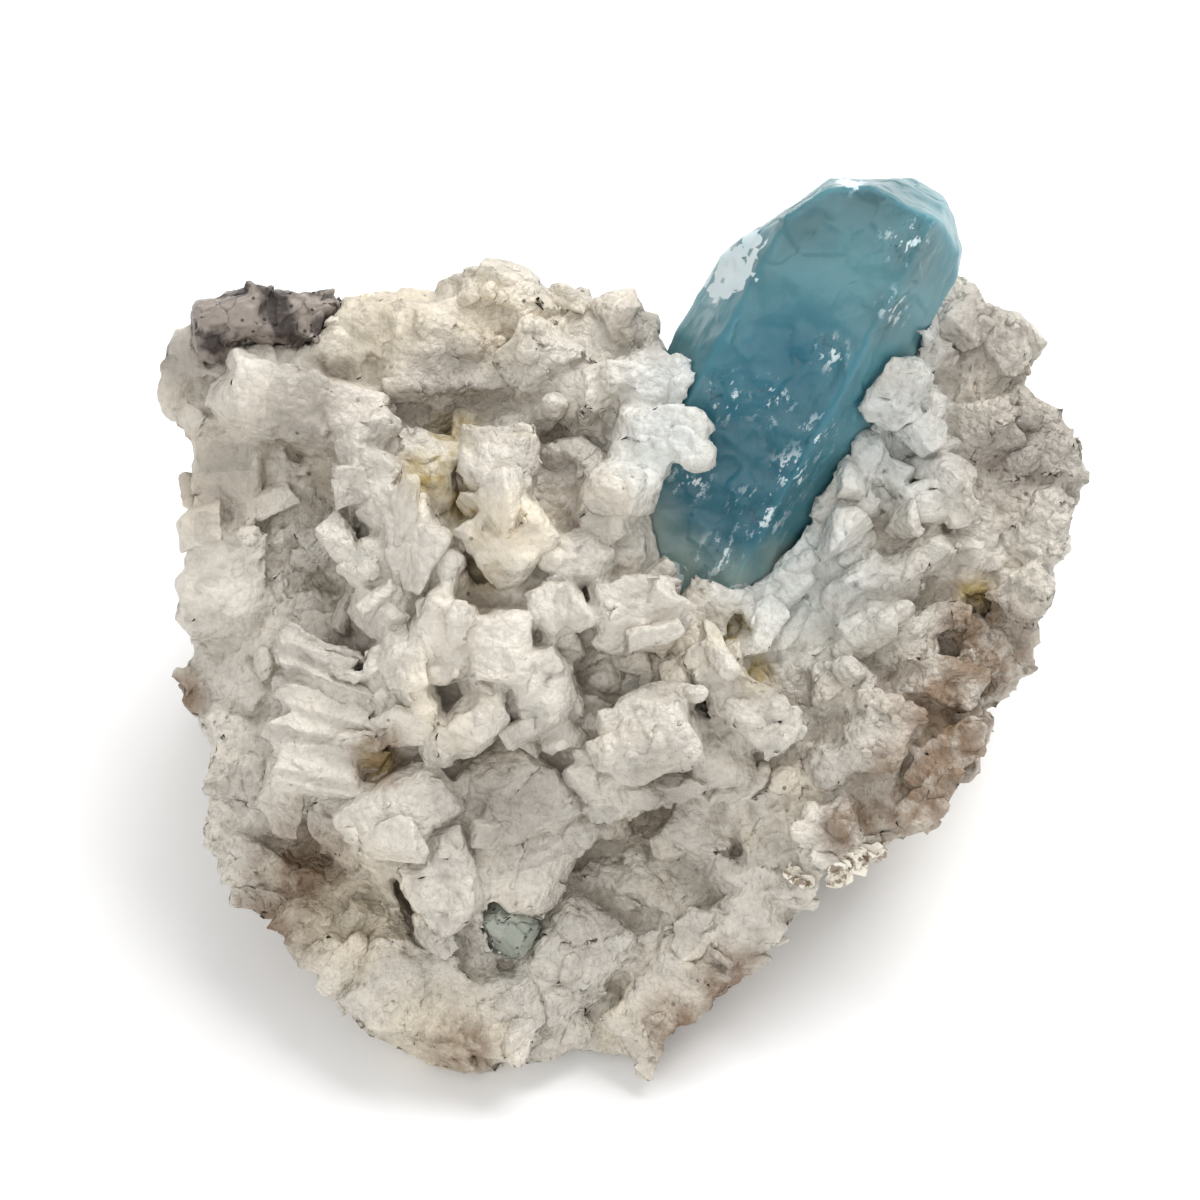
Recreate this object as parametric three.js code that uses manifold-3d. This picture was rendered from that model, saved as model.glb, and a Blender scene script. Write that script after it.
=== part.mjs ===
// A blue aquamarine crystal on a loose piece of white albite feldspar, with two bits of smoky
// quartz and two books of mica in it. Millimetres, +Z up. The origin is under the middle of the
// piece, on the flat break that it stands on.
//
// The side that carries the crystal leans back, so it is built face on, in its own frame: u runs
// across the face to the right, v up it, and w out of it. The group at the end leans it back.
import * as THREE from "three";
import { ConvexGeometry } from "three/addons/geometries/ConvexGeometry.js";
import { mergeVertices } from "three/addons/utils/BufferGeometryUtils.js";
import Module from "manifold-3d";

const wasm = await Module();
wasm.setup();
const { Manifold, Mesh: SolidMesh } = wasm;

// Driving dimensions
const FACE_LEAN = THREE.MathUtils.degToRad(40); // how far the crystal face leans back
const FACE_MIDDLE = [0.1, -6.12, 28.6]; // from the middle of the base
const JOIN_GAP = 0.3; // clearance between one mineral and the next
const BACK_CRYSTALS = 22; // crystals on the back and the sides, seated by rule

// The piece's outline as its face is looked at, clockwise from the upper left
const OUTLINE = [
  [-38.7, 24.9], [-35.6, 25.5], [-25.5, 26.9], [-19, 28.9], [-12.3, 30], [-8.2, 29.5],
  [-7, 28.4], [-3.6, 28.5], [-1.9, 27], [0.6, 26.6], [1.8, 25.8], [3.3, 23.4],
  [8, 20], [15, 19], [22, 23], [28.3, 30], [29.5, 28.8], [31, 26.8],
  [33.4, 25.8], [34.8, 23.2], [34, 22], [34.4, 20.4], [37, 18.9], [39, 15],
  [39.8, 13.2], [38.9, 10.5], [38.4, 7.5], [37.8, 5.8], [36.6, 4.5], [36.3, 2],
  [34.9, 0], [35, -1.5], [34.7, -5.7], [31.9, -6.9], [31, -9.4], [26.8, -14.5],
  [25.5, -17.7], [22.7, -19], [20.2, -20], [16.4, -21.2], [15.7, -23.2], [14.3, -26.6],
  [11.9, -28], [10.2, -30], [6.9, -33], [4.4, -34.3], [2.3, -37.3], [-0.3, -36.6],
  [-4.8, -36.3], [-7.3, -36.9], [-11, -38.3], [-15.6, -37.8], [-19.8, -37.3], [-22.2, -34.5],
  [-24.5, -31], [-27.3, -29.6], [-30, -26.8], [-35, -21.7], [-36.4, -18.8], [-35.6, -14],
  [-35, -9.5], [-36.9, -7.4], [-38.8, -5.2], [-36.8, -2.6], [-36.8, -1], [-37.9, 0.4],
  [-38, 3], [-36.8, 8], [-37.2, 16], [-38.8, 17.2], [-40, 19.6], [-39.6, 22.6],
];

// How the outline draws in from the face to the back: depth, share of its size, and roughness
const FLANK = [
  { w: 30, share: 1, rough: 0 },
  { w: -5.5, share: 1, rough: 0 },
  { w: -11, share: 0.97, rough: 2.4 },
  { w: -18, share: 0.91, rough: 4 },
  { w: -27, share: 0.82, rough: 4.6 },
  { w: -37, share: 0.69, rough: 4.6 },
  { w: -50, share: 0.52, rough: 4 },
];
const FLANK_RUN = 3; // neighbouring corners of the outline that break back together

// Repeatable chance, so that every build is the same
function chance(seed) {
  let state = seed * 7919 + 17;
  return () => {
    state = (state + 0x6d2b79f5) | 0;
    let mixed = Math.imul(state ^ (state >>> 15), 1 | state);
    mixed = (mixed + Math.imul(mixed ^ (mixed >>> 7), 61 | mixed)) ^ mixed;
    return ((mixed ^ (mixed >>> 14)) >>> 0) / 4294967296;
  };
}

// A closed geometry as a solid that can be joined and cut
function solidOf(geometry) {
  const bare = geometry.clone();
  bare.deleteAttribute("normal");
  bare.deleteAttribute("uv");
  const merged = mergeVertices(bare, 1e-4);
  return new Manifold(
    new SolidMesh({
      numProp: 3,
      vertProperties: merged.attributes.position.array,
      triVerts: new Uint32Array(merged.index.array),
    }),
  );
}

function geometryOf(solid) {
  const { numProp, vertProperties, triVerts } = solid.getMesh();
  const positions = new Float32Array((vertProperties.length / numProp) * 3);
  for (let i = 0; i < positions.length / 3; i += 1) {
    positions.set(vertProperties.subarray(i * numProp, i * numProp + 3), i * 3);
  }
  return new THREE.BufferGeometry()
    .setAttribute("position", new THREE.BufferAttribute(positions, 3))
    .setIndex(new THREE.BufferAttribute(triVerts, 1));
}

const join = (solids) => solids.reduce((whole, next) => whole.add(next));

// The corners of a crystal of one habit, one unit long, wide and thick, before it is shaken

// A stout feldspar block: a box with two of its upper corners cut off
function blockCorners(cut = 0.34) {
  const corners = [];
  const inner = 0.5 * (1 - cut);
  for (const x of [-1, 1]) {
    for (const y of [-1, 1]) {
      if (x === y) {
        corners.push([x * 0.5, y * inner, 0.5 * inner]);
        corners.push([x * inner, y * 0.5, 0.5 * inner]);
        corners.push([x * inner, y * inner, 0.5]);
      } else {
        corners.push([x * 0.45, y * 0.45, 0.44]);
      }
      corners.push([x * 0.46, y * 0.46, -0.5]);
    }
  }
  return corners;
}

// A six-sided prism with a chisel edge at each end
function prismCorners() {
  const corners = [];
  for (const end of [-1, 1]) {
    for (const side of [-1, 1]) {
      corners.push([end * 0.5, side * 0.24, 0]);
      corners.push([end * 0.34, side * 0.5, 0]);
      corners.push([end * 0.36, side * 0.26, 0.5]);
      corners.push([end * 0.36, side * 0.26, -0.5]);
    }
  }
  return corners;
}

// A thin plate with a ragged six-cornered outline
function bladeCorners() {
  const rim = [[-0.5, -0.2], [-0.3, 0.5], [0.25, 0.46], [0.5, 0.1], [0.36, -0.42], [-0.26, -0.5]];
  return rim.flatMap(([x, y]) => [[x, y, 0.5], [x * 0.9, y * 0.9, -0.5]]);
}

// A rounded grain
function lumpCorners() {
  const ball = new THREE.IcosahedronGeometry(0.5, 0).getAttribute("position");
  const corners = new Map();
  for (let i = 0; i < ball.count; i += 1) {
    const point = [ball.getX(i), ball.getY(i), ball.getZ(i)];
    corners.set(point.map((x) => x.toFixed(3)).join(), point);
  }
  return [...corners.values()];
}

// A broken mass: a box with its corners drawn in and its faces swollen
function massCorners() {
  const corners = [];
  for (const x of [-1, 1]) {
    for (const y of [-1, 1]) {
      for (const z of [-1, 1]) corners.push([x * 0.36, y * 0.36, z * 0.36]);
    }
  }
  for (const side of [-0.5, 0.5]) corners.push([side, 0, 0], [0, side, 0], [0, 0, side]);
  return corners;
}

const HABITS = {
  block: blockCorners,
  prism: prismCorners,
  blade: bladeCorners,
  lump: lumpCorners,
  mass: massCorners,
};

// One crystal: its corners at size, each shaken a little, turned and put in place. `grow` makes
// it larger all round, for the socket that it leaves in its neighbour.
function crystal({ habit = "block", size, middle, turn = 0, dip = 0, roll = 0, rough = 0.07, seed }, grow = 0) {
  const random = chance(seed);
  const points = HABITS[habit]().map((corner) => {
    const at = corner.map((n, axis) => (n + (random() - 0.5) * rough * 2) * size[axis]);
    const point = new THREE.Vector3(...at);
    return point.setLength(point.length() + grow);
  });
  const place = new THREE.Object3D();
  place.position.set(...middle);
  const [x, y, z] = [roll, -dip, turn].map((angle) => THREE.MathUtils.degToRad(angle));
  place.rotation.set(x, y, z, "ZYX");
  place.updateMatrix();
  return solidOf(new ConvexGeometry(points).applyMatrix4(place.matrix));
}

// A block that covers everything beyond a plane
function beyond(point, normal) {
  const reach = 200;
  const cutter = new THREE.Object3D();
  cutter.position.set(...point);
  cutter.lookAt(cutter.position.clone().add(new THREE.Vector3(...normal)));
  cutter.translateZ(reach / 2);
  cutter.updateMatrix();
  return solidOf(new THREE.BoxGeometry(reach, reach, reach).applyMatrix4(cutter.matrix));
}

function shape(points) {
  return new THREE.Shape(points.map(([x, y]) => new THREE.Vector2(x, y)));
}

// The aquamarine: a stout six-sided beryl prism in its own frame, z along it and y out of its
// broad front face
const BERYL = {
  foot: [2.9, 3, -7.5], // on the face, where its axis goes into the feldspar
  turn: -28.2, // from straight up the face, to the right
  rise: 18, // of the tip out of the face
  length: 41,
  buried: 9,
  front: 7, // of the broad face from the axis
  section: [[9.4, -0.6], [5.2, 7], [-6.2, 7], [-9.2, 1], [-5.6, -7], [5.2, -7.4]],
};

// Worn corners of the prism: a point on each and the way that it faces
const BERYL_WEAR = [
  { point: [-6.5, 0, 33], normal: [-0.88, 0.06, 0.47] },
  { point: [-1.6, 0, 39.4], normal: [-0.5, 0.12, 0.86] },
  { point: [7.2, 0, 39.6], normal: [0.66, 0.04, 0.75] },
  { point: [9.2, 0, 36.4], normal: [0.95, 0.02, 0.3] },
  { point: [0, 6.1, 39.6], normal: [0.05, 0.7, 0.7] },
  { point: [-8.6, 3.6, 27], normal: [-0.86, 0.48, 0.14] },
  { point: [5.6, 6.6, 20], normal: [0.5, 0.86, 0.02] },
  { point: [-7.1, 6.4, 20], normal: [-0.45, 0.89, 0.02] },
];

// Raised growth plates on the front face: outline across and along the prism, and height
const BERYL_PLATES = [
  { outline: [[-6, 6], [-2.6, 4], [-1.4, 15], [-2.2, 24], [-5.8, 27]], rise: 0.35 },
  { outline: [[0.4, 12], [3.8, 9], [4.6, 26], [2.2, 31], [0.8, 22]], rise: 0.3 },
  { outline: [[-5.2, 30], [-1.8, 28.5], [-0.4, 33.5], [-3.4, 34]], rise: 0.4 },
];

function berylFrame() {
  const frame = new THREE.Object3D();
  frame.position.set(...BERYL.foot);
  const lean = THREE.MathUtils.degToRad(BERYL.rise - 90);
  // The prism's z is laid up the face, raised towards w, then turned on the face.
  frame.rotation.set(lean, 0, THREE.MathUtils.degToRad(BERYL.turn), "ZYX");
  frame.updateMatrix();
  return frame.matrix;
}

function beryl(grow = 0) {
  const section = BERYL.section.map(([x, y]) => {
    const corner = new THREE.Vector2(x, y);
    return corner.setLength(corner.length() + grow).toArray();
  });
  const prism = new THREE.ExtrudeGeometry(shape(section), {
    depth: BERYL.length + BERYL.buried + grow,
    bevelEnabled: false,
  }).translate(0, 0, -BERYL.buried - grow / 2);
  let solid = solidOf(prism);
  for (const { outline, rise } of BERYL_PLATES) {
    const plate = new THREE.ExtrudeGeometry(shape(outline), { depth: 2, bevelEnabled: false })
      .rotateX(Math.PI / 2)
      .translate(0, BERYL.front + rise + grow, 0);
    solid = solid.add(solidOf(plate));
  }
  for (const { point, normal } of BERYL_WEAR) {
    const out = new THREE.Vector3(...normal).normalize();
    const moved = out.clone().multiplyScalar(grow).add(new THREE.Vector3(...point));
    solid = solid.subtract(beyond(moved.toArray(), normal));
  }
  return solid.transform(berylFrame().elements);
}

// The broken flank of the feldspar: the outline, drawn in and roughened towards the back
function flank(levels) {
  const random = chance(77);
  const count = OUTLINE.length;
  const middle = [0, -3];
  const positions = [];
  levels.forEach(({ w, share, rough }, level) => {
    let broken = 0;
    OUTLINE.forEach(([u, v], i) => {
      if ((i + level) % FLANK_RUN === 0) broken = rough * random();
      const inward = share - broken / Math.hypot(u - middle[0], v - middle[1]);
      const down = rough * 0.5 * (random() - 0.5);
      positions.push(middle[0] + (u - middle[0]) * inward, middle[1] + (v - middle[1]) * inward, w + down);
    });
  });
  const triangles = [];
  for (let level = 0; level + 1 < levels.length; level += 1) {
    for (let i = 0; i < count; i += 1) {
      const [a, b] = [level * count + i, level * count + ((i + 1) % count)];
      triangles.push(a, b, a + count, b, b + count, a + count);
    }
  }
  const lid = THREE.ShapeUtils.triangulateShape(OUTLINE.map(([x, y]) => new THREE.Vector2(x, y)), []);
  const last = (levels.length - 1) * count;
  for (const [a, b, c] of lid) triangles.push(a, b, c, last + a, last + c, last + b);
  const geometry = new THREE.BufferGeometry()
    .setAttribute("position", new THREE.BufferAttribute(new Float32Array(positions), 3))
    .setIndex(triangles);
  return solidOf(geometry);
}

// The main masses of the feldspar, back to front: the middle and size of each, u, v, w
const MASSES = [
  { middle: [0, -1, -20], size: [84, 78, 38] }, // heart
  { middle: [-24, 16, -13], size: [42, 32, 26] }, // upper left
  { middle: [-31, 2, -13], size: [24, 50, 26] }, // left wall
  { middle: [-28, -15, -12], size: [28, 32, 20] }, // lower left
  { middle: [-15, -30, -9.4], size: [36, 26, 19] }, // left of the foot
  { middle: [4, -28, -10], size: [34, 26, 16], turn: 35 }, // right of the foot
  { middle: [-15, -16, -3], size: [24, 22, 15], turn: -30 }, // wedge over the foot
  { middle: [-10, 3, -1], size: [30, 32, 13] }, // under the grape-like cluster
  { middle: [-5, 20, -8], size: [30, 26, 20], turn: -8 }, // upper middle
  { middle: [24, 9, -11], size: [38, 44, 20], turn: 12 }, // right bank
  { middle: [18, -12, -7], size: [26, 28, 17], turn: 20 }, // lower right
  { middle: [27, -8, -15], size: [28, 32, 15], turn: 35 }, // ledges under the right bank
  { middle: [35, 10, -13], size: [17, 34, 18], turn: 8 }, // right edge
  { middle: [3, -9, -1], size: [19, 16, 11], turn: 15 }, // under the aquamarine's foot
  { middle: [16, 18, -17], size: [36, 30, 17] }, // behind the aquamarine
];

// Great broken knobs of the back: the middle and size of each, u, v, w
const BACK_KNOBS = [
  { middle: [-20, 12, -22], size: [30, 26, 18], turn: 20, dip: 18 },
  { middle: [-2, 18, -24], size: [26, 22, 20], turn: -15, roll: 20 },
  { middle: [20, 16, -24], size: [26, 24, 16], turn: 10, dip: -20 },
  { middle: [30, 0, -22], size: [18, 26, 18], turn: -12, roll: 14 },
  { middle: [-30, -2, -22], size: [18, 30, 20], turn: 14, roll: -18 },
  { middle: [6, 10, -32], size: [30, 20, 18], turn: 35, dip: 12 },
  { middle: [-14, 6, -32], size: [28, 22, 16], turn: -30, dip: -14 },
  { middle: [24, -14, -16], size: [16, 20, 16], turn: 40, roll: 16 },
];

// Crystals and lumps of the face, each seated on what lies under it. `at` is u, v; `size` is
// length, width and thickness; `turn` is the length's angle from u; `proud` is how far it stands
// out of what it sits on. Those marked `over` have grown over the aquamarine.
const UPPER_LEFT = [
  { at: [-27.2, 17.9], size: [17.4, 8, 8.4], turn: -18, proud: 3.6, roll: -12, habit: "prism", rough: 0.04 },
  { at: [-24.5, 24.4], size: [20, 7, 9], turn: 9, proud: 2.2, roll: 12 },
  { at: [-16.5, 22.6], size: [11, 10, 9], turn: 12, proud: 3.6, roll: -12 },
  { at: [-36.8, 23.2], size: [5, 5, 5], turn: 20, proud: 1.6 },
  { at: [-38.3, 20.3], size: [6.4, 4, 5], turn: 80, proud: 2, habit: "lump" },
  { at: [-31.6, 22.8], size: [6, 4, 4], turn: 15, proud: 1.6, habit: "prism" },
  { at: [-21.8, 15.6], size: [6, 3.2, 4], turn: 38, proud: 3, habit: "prism" },
];
const LEFT_WALL = [
  { at: [-34.4, 3.6], size: [11, 7.4, 7], turn: 87, proud: 2.6 },
  { at: [-34.2, 12.6], size: [10, 7, 7], turn: 92, proud: 1.8 },
  { at: [-37.6, -5.4], size: [5, 4, 4], turn: 20, proud: 1.8, habit: "lump" },
  { at: [-32.4, -5.2], size: [6, 5.4, 5], turn: 30, proud: 1.4, habit: "lump" },
  { at: [-33, -11.6], size: [8.4, 6, 6], turn: 80, proud: 1.6 },
];
const RECESS = [
  { at: [-28.6, 7.6], size: [5, 5, 4], turn: 60, proud: 1.2, habit: "lump" },
  { at: [-24.6, 6.2], size: [7.4, 6.4, 5], turn: -35, proud: 1.4 },
  { at: [-24.4, 0.2], size: [8.6, 5, 6], turn: -4, proud: 2.8 },
];
const CLUSTER = [
  { at: [-21.8, 12], size: [6, 4.6, 5], turn: 62, proud: 3.2 },
  { at: [-21.5, 5.2], size: [5, 4.6, 5], turn: 20, proud: 4, habit: "lump" },
  { at: [-20, 9], size: [4.6, 4.4, 4.4], turn: 50, proud: 3 },
  { at: [-17.8, 7.4], size: [6, 5.4, 5], turn: 110, proud: 3.4 },
  { at: [-15.2, 4.4], size: [5.4, 5, 5], turn: 10, proud: 3.6, habit: "lump" },
  { at: [-10.6, 13.4], size: [6.2, 6, 6.4], turn: 4, proud: 4.4, roll: -8 },
  { at: [-9.8, 7.2], size: [7.4, 6.6, 6], turn: 42, proud: 4 },
  { at: [-3.6, 5.6], size: [6.4, 5.6, 5.4], turn: 15, proud: 3.8, habit: "lump" },
  { at: [-5.8, 1.4], size: [5, 4.6, 5], turn: 30, proud: 3.2 },
  { at: [0.3, 0.9], size: [7.2, 5.8, 6.4], turn: 8, proud: 5.2, roll: -10, over: true },
  { at: [-15.2, -1.4], size: [7.4, 5.6, 5.6], turn: 72, proud: 4.4 },
  { at: [-19.4, -3.4], size: [4.2, 3, 3.4], turn: 158, proud: 3, habit: "prism" },
  { at: [-19.6, -5.9], size: [4.2, 2.6, 3.4], turn: 20, proud: 2.8, habit: "prism" },
  { at: [-17.2, -5.4], size: [6.4, 3.2, 4.4], turn: 94, proud: 4, habit: "prism" },
  { at: [-13.8, -8.4], size: [8.6, 4.4, 5], turn: 43, proud: 4.6, habit: "prism", roll: 12 },
  { at: [-10.4, -2], size: [6.4, 5.2, 5.4], turn: 80, proud: 4 },
  { at: [-7.4, -5.6], size: [7, 6, 5.4], turn: 110, proud: 3.4 },
  { at: [-5.6, -9.4], size: [3.6, 3.4, 4], turn: 20, proud: 2.6, habit: "lump" },
  { at: [-1.4, 10], size: [5.4, 4.6, 4.6], turn: 70, proud: 3 },
  { at: [-19.2, 1.6], size: [5.6, 3.6, 4], turn: 84, proud: 3, habit: "prism" },
];
const CROWN = [
  { at: [-9.2, 27], size: [7, 5, 6], turn: -6, proud: 1.8, habit: "lump" },
  { at: [0.2, 24.8], size: [5.2, 4.2, 5], turn: -20, proud: 1.8, habit: "lump" },
  { at: [-7.4, 22.4], size: [6.4, 5.4, 5], turn: 35, proud: 1.8 },
  { at: [-12.6, 26.4], size: [6, 5, 6], turn: 15, proud: 1.4, habit: "lump" },
  { at: [1.4, 20.6], size: [8.6, 5.2, 5.4], turn: 8, proud: 3.4, over: true },
  { at: [4.6, 19.6], size: [4.4, 4.6, 4.4], turn: 40, proud: 2.4, habit: "lump", over: true },
  { at: [3.2, 15.6], size: [8.4, 5, 5], turn: -4, proud: 3.2, over: true },
  { at: [0.4, 12], size: [6, 5, 4.6], turn: 50, proud: 2.8, over: true },
  { at: [-3.2, 18.8], size: [5, 2.6, 3.6], turn: 96, proud: 1.4, habit: "prism" },
];
const RIGHT_BANK = [
  { at: [26.6, 26.2], size: [6.4, 4.4, 5], turn: 56, proud: 2.4 },
  { at: [29.8, 26.4], size: [5.6, 4, 5], turn: 110, proud: 1.6, habit: "lump" },
  { at: [32.8, 23.4], size: [5, 4.4, 5], turn: 30, proud: 1.4 },
  { at: [25, 21.8], size: [8, 3.8, 4.6], turn: 44, proud: 3.2, habit: "prism" },
  { at: [19.8, 16.2], size: [5.8, 4.4, 5], turn: 74, proud: 3.2, habit: "lump" },
  { at: [25.6, 17.2], size: [6, 3.2, 4.4], turn: 62, proud: 2.6, habit: "prism" },
  { at: [21.4, 13.4], size: [6, 3.4, 4.4], turn: -32, proud: 2.6, habit: "prism" },
  { at: [24.4, 24.4], size: [6, 4.4, 12], turn: 58, proud: 2, habit: "lump", over: true },
  { at: [22.4, 19.6], size: [6, 4.6, 12], turn: 66, proud: 5, over: true },
  { at: [20.4, 14.8], size: [6.8, 6, 12], turn: 70, proud: 6, habit: "lump", over: true },
  { at: [18.2, 10.2], size: [6.4, 5.6, 11], turn: 46, proud: 4.6, over: true },
  { at: [15.6, 6.6], size: [8.6, 5, 10], turn: 50, proud: 2.2, habit: "prism", over: true },
  { at: [12.2, 2.4], size: [6.6, 4, 9], turn: 44, proud: 2, habit: "prism", over: true },
  { at: [7.2, 1.6], size: [7.2, 4.4, 8], turn: -20, proud: 1.8, over: true },
  { at: [19.6, 3.6], size: [6.4, 3.4, 4], turn: 36, proud: 2.6, habit: "prism" },
  { at: [24.8, 5.4], size: [8.6, 3.8, 4.4], turn: 36, proud: 3, habit: "prism" },
  { at: [25.6, 10.4], size: [6.6, 3.6, 4.4], turn: 14, proud: 2.8 },
  { at: [34.2, 2.4], size: [5.4, 5, 5], turn: 40, proud: 2.2 },
  { at: [37.2, 14], size: [5.4, 5.4, 6], turn: 30, proud: 1.8 },
  { at: [30.8, 16.8], size: [6, 5.6, 4.6], turn: 20, proud: 1.6 },
  { at: [35.8, 8.4], size: [6.4, 5, 5], turn: 80, proud: 1.8 },
  { at: [20.6, 0], size: [7, 3.8, 4.6], turn: 24, proud: 2 },
  { at: [26.4, 0.4], size: [7, 3, 4], turn: 12, proud: 2, habit: "blade" },
  { at: [31, -2.4], size: [7, 5.6, 5], turn: -20, proud: 1.8, habit: "lump" },
  { at: [26.6, -4.8], size: [8, 4.4, 4], turn: -12, proud: 1.8 },
];
const LOWER = [
  { at: [-26.6, -11.6], size: [11.4, 7.6, 8], turn: 84, proud: 4 },
  { at: [-25, -4.8], size: [7.6, 6, 6.6], turn: 78, proud: 3.2 },
  { at: [5, -1.4], size: [8, 4, 5], turn: -50, proud: 2.4, habit: "prism" },
  { at: [9.2, -6], size: [12, 4.6, 5.4], turn: -40, proud: 3.6 },
  { at: [1.8, -9], size: [8.4, 6, 6.6], turn: 14, proud: 4.6, roll: -10 },
  { at: [-10.2, -14.6], size: [10, 8.4, 6], turn: 32, proud: 2.2 },
  { at: [-19, -15.4], size: [9.4, 6, 6], turn: 30, proud: 3 },
  { at: [-15.4, -21.6], size: [8, 6.4, 6], turn: -62, proud: 3.2 },
  { at: [-2.4, -17.2], size: [8, 4.6, 4.6], turn: 24, proud: 2, habit: "lump" },
  { at: [6.4, -16.8], size: [6.6, 5.4, 5], turn: 60, proud: 2.4 },
  { at: [10.4, -20.8], size: [9, 3.4, 4], turn: 4, proud: 2 },
  { at: [18.6, -5.6], size: [7, 6, 5], turn: 20, proud: 2.4, habit: "lump" },
  { at: [21.4, -9.6], size: [7, 6, 5.4], turn: 64, proud: 2.6 },
  { at: [17, -12.2], size: [5.6, 5, 4.6], turn: 20, proud: 2.2, habit: "lump" },
  { at: [16.8, -17.4], size: [6.4, 4.6, 5], turn: 26, proud: 2.6 },
  { at: [27.6, -10.8], size: [9.4, 3.6, 4], turn: 36, proud: 2.2, habit: "blade" },
  { at: [25.4, -14.6], size: [8.4, 3.2, 4], turn: 42, proud: 2, habit: "blade" },
];
const FOOT = [
  { at: [-31.6, -20.8], size: [6.4, 4.4, 5], turn: -20, proud: 2 },
  { at: [-27.2, -24.6], size: [7, 5, 5], turn: 20, proud: 2.2, habit: "lump" },
  { at: [-24.4, -28.6], size: [5, 4.4, 5], turn: -40, proud: 1.8 },
  { at: [-19.4, -30.4], size: [8.6, 7.4, 5], turn: 60, proud: 2 },
  { at: [-12.4, -33], size: [9.4, 7.6, 5], turn: -16, proud: 2.2 },
  { at: [-4.6, -28.6], size: [10, 8, 5], turn: 52, proud: 2.4 },
  { at: [3.4, -32.2], size: [11, 7.4, 5], turn: 48, proud: 1.8 },
  { at: [8.4, -26.4], size: [11, 6.4, 5], turn: 34, proud: 1.8 },
];

// The fan of thin plates on the left, one above the other
function plateFan() {
  const plates = [];
  const count = 6;
  for (let i = 0; i < count; i += 1) {
    const down = i / (count - 1);
    plates.push({
      at: [-22.6 + 0.9 * Math.sin(i * 2.3) + 1.4 * down, -2.6 - 8.6 * down],
      size: [7.6 + Math.cos(i * 1.7), 3.8, 1],
      turn: -8 + 26 * down,
      dip: 4,
      roll: 66 + 5 * Math.sin(i * 3.1),
      proud: 3.4 - 0.6 * down,
      habit: "blade",
    });
  }
  return plates;
}

// Hollows between the crystals: the dark gaps of the face
const PITS = [
  { middle: [-28, 13.8, 2], size: [6, 1.8, 9], turn: -36, habit: "lump" }, // under the upper block
  { middle: [-21.6, -4, 1], size: [4, 4.4, 5.4], turn: 0, habit: "lump" }, // beside the plate fan
  { middle: [-19.4, -8.6, 1], size: [6, 3.2, 5.4], turn: -14, habit: "lump" }, // under the prisms
  { middle: [-2, -4.2, 4], size: [7.4, 5, 9], turn: -6, habit: "lump" }, // under the white block
  { middle: [-13.4, 11.8, 4], size: [3.4, 6, 6.4], turn: -20, habit: "lump" }, // stained, beside the cube
  { middle: [-12.8, 4.8, 5], size: [2.6, 3.6, 5.6], turn: 30, habit: "lump" }, // stained, under the cream block
  { middle: [-6, 16.2, 3], size: [4.6, 3.6, 7], turn: 20, habit: "lump" }, // above the cluster
  { middle: [9, -0.6, 1], size: [2.6, 4.6, 6], turn: 16, habit: "lump" }, // stained, under the aquamarine
  { middle: [6, -5.8, 2], size: [7, 1.6, 8], turn: -42, habit: "lump" }, // under the long prism
  { middle: [-2.4, -14, 1], size: [5.4, 1.7, 6], turn: -12, habit: "lump" }, // under the bright block
  { middle: [-18.6, -23.8, 0], size: [6, 1.5, 9], turn: -66, habit: "lump" }, // crack beside the wedge
  { middle: [30, 1.2, -4], size: [3.2, 3.8, 5.4], turn: 0, habit: "lump" }, // stained, right
  { middle: [23, 16.4, 0], size: [3, 1.2, 6], turn: 34, habit: "lump" }, // slot under the arch
];

// Where the straight line at u, v first meets the given solids, out of the face
function seatFinder(solids) {
  const meshes = solids.map((solid) => new THREE.Mesh(geometryOf(solid)));
  const caster = new THREE.Raycaster();
  return (origin, direction) => {
    caster.set(new THREE.Vector3(...origin), new THREE.Vector3(...direction).normalize());
    return caster.intersectObjects(meshes)[0];
  };
}

function faceCrystals(core) {
  const onStone = seatFinder([core]);
  const onEither = seatFinder([core, beryl()]);
  const listed = [
    ...UPPER_LEFT, ...LEFT_WALL, ...RECESS, ...CLUSTER, ...CROWN,
    ...RIGHT_BANK, ...LOWER, ...FOOT, ...plateFan(),
  ];
  return listed.map((one, i) => {
    const hit = (one.over ? onEither : onStone)([one.at[0], one.at[1], 100], [0, 0, -1]);
    if (!hit) throw new Error(`nothing lies under the crystal at ${one.at}`);
    const w = hit.point.z + one.proud - one.size[2] / 2;
    return crystal({ roll: 0, ...one, middle: [...one.at, w], seed: i + 100 });
  });
}

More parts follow.
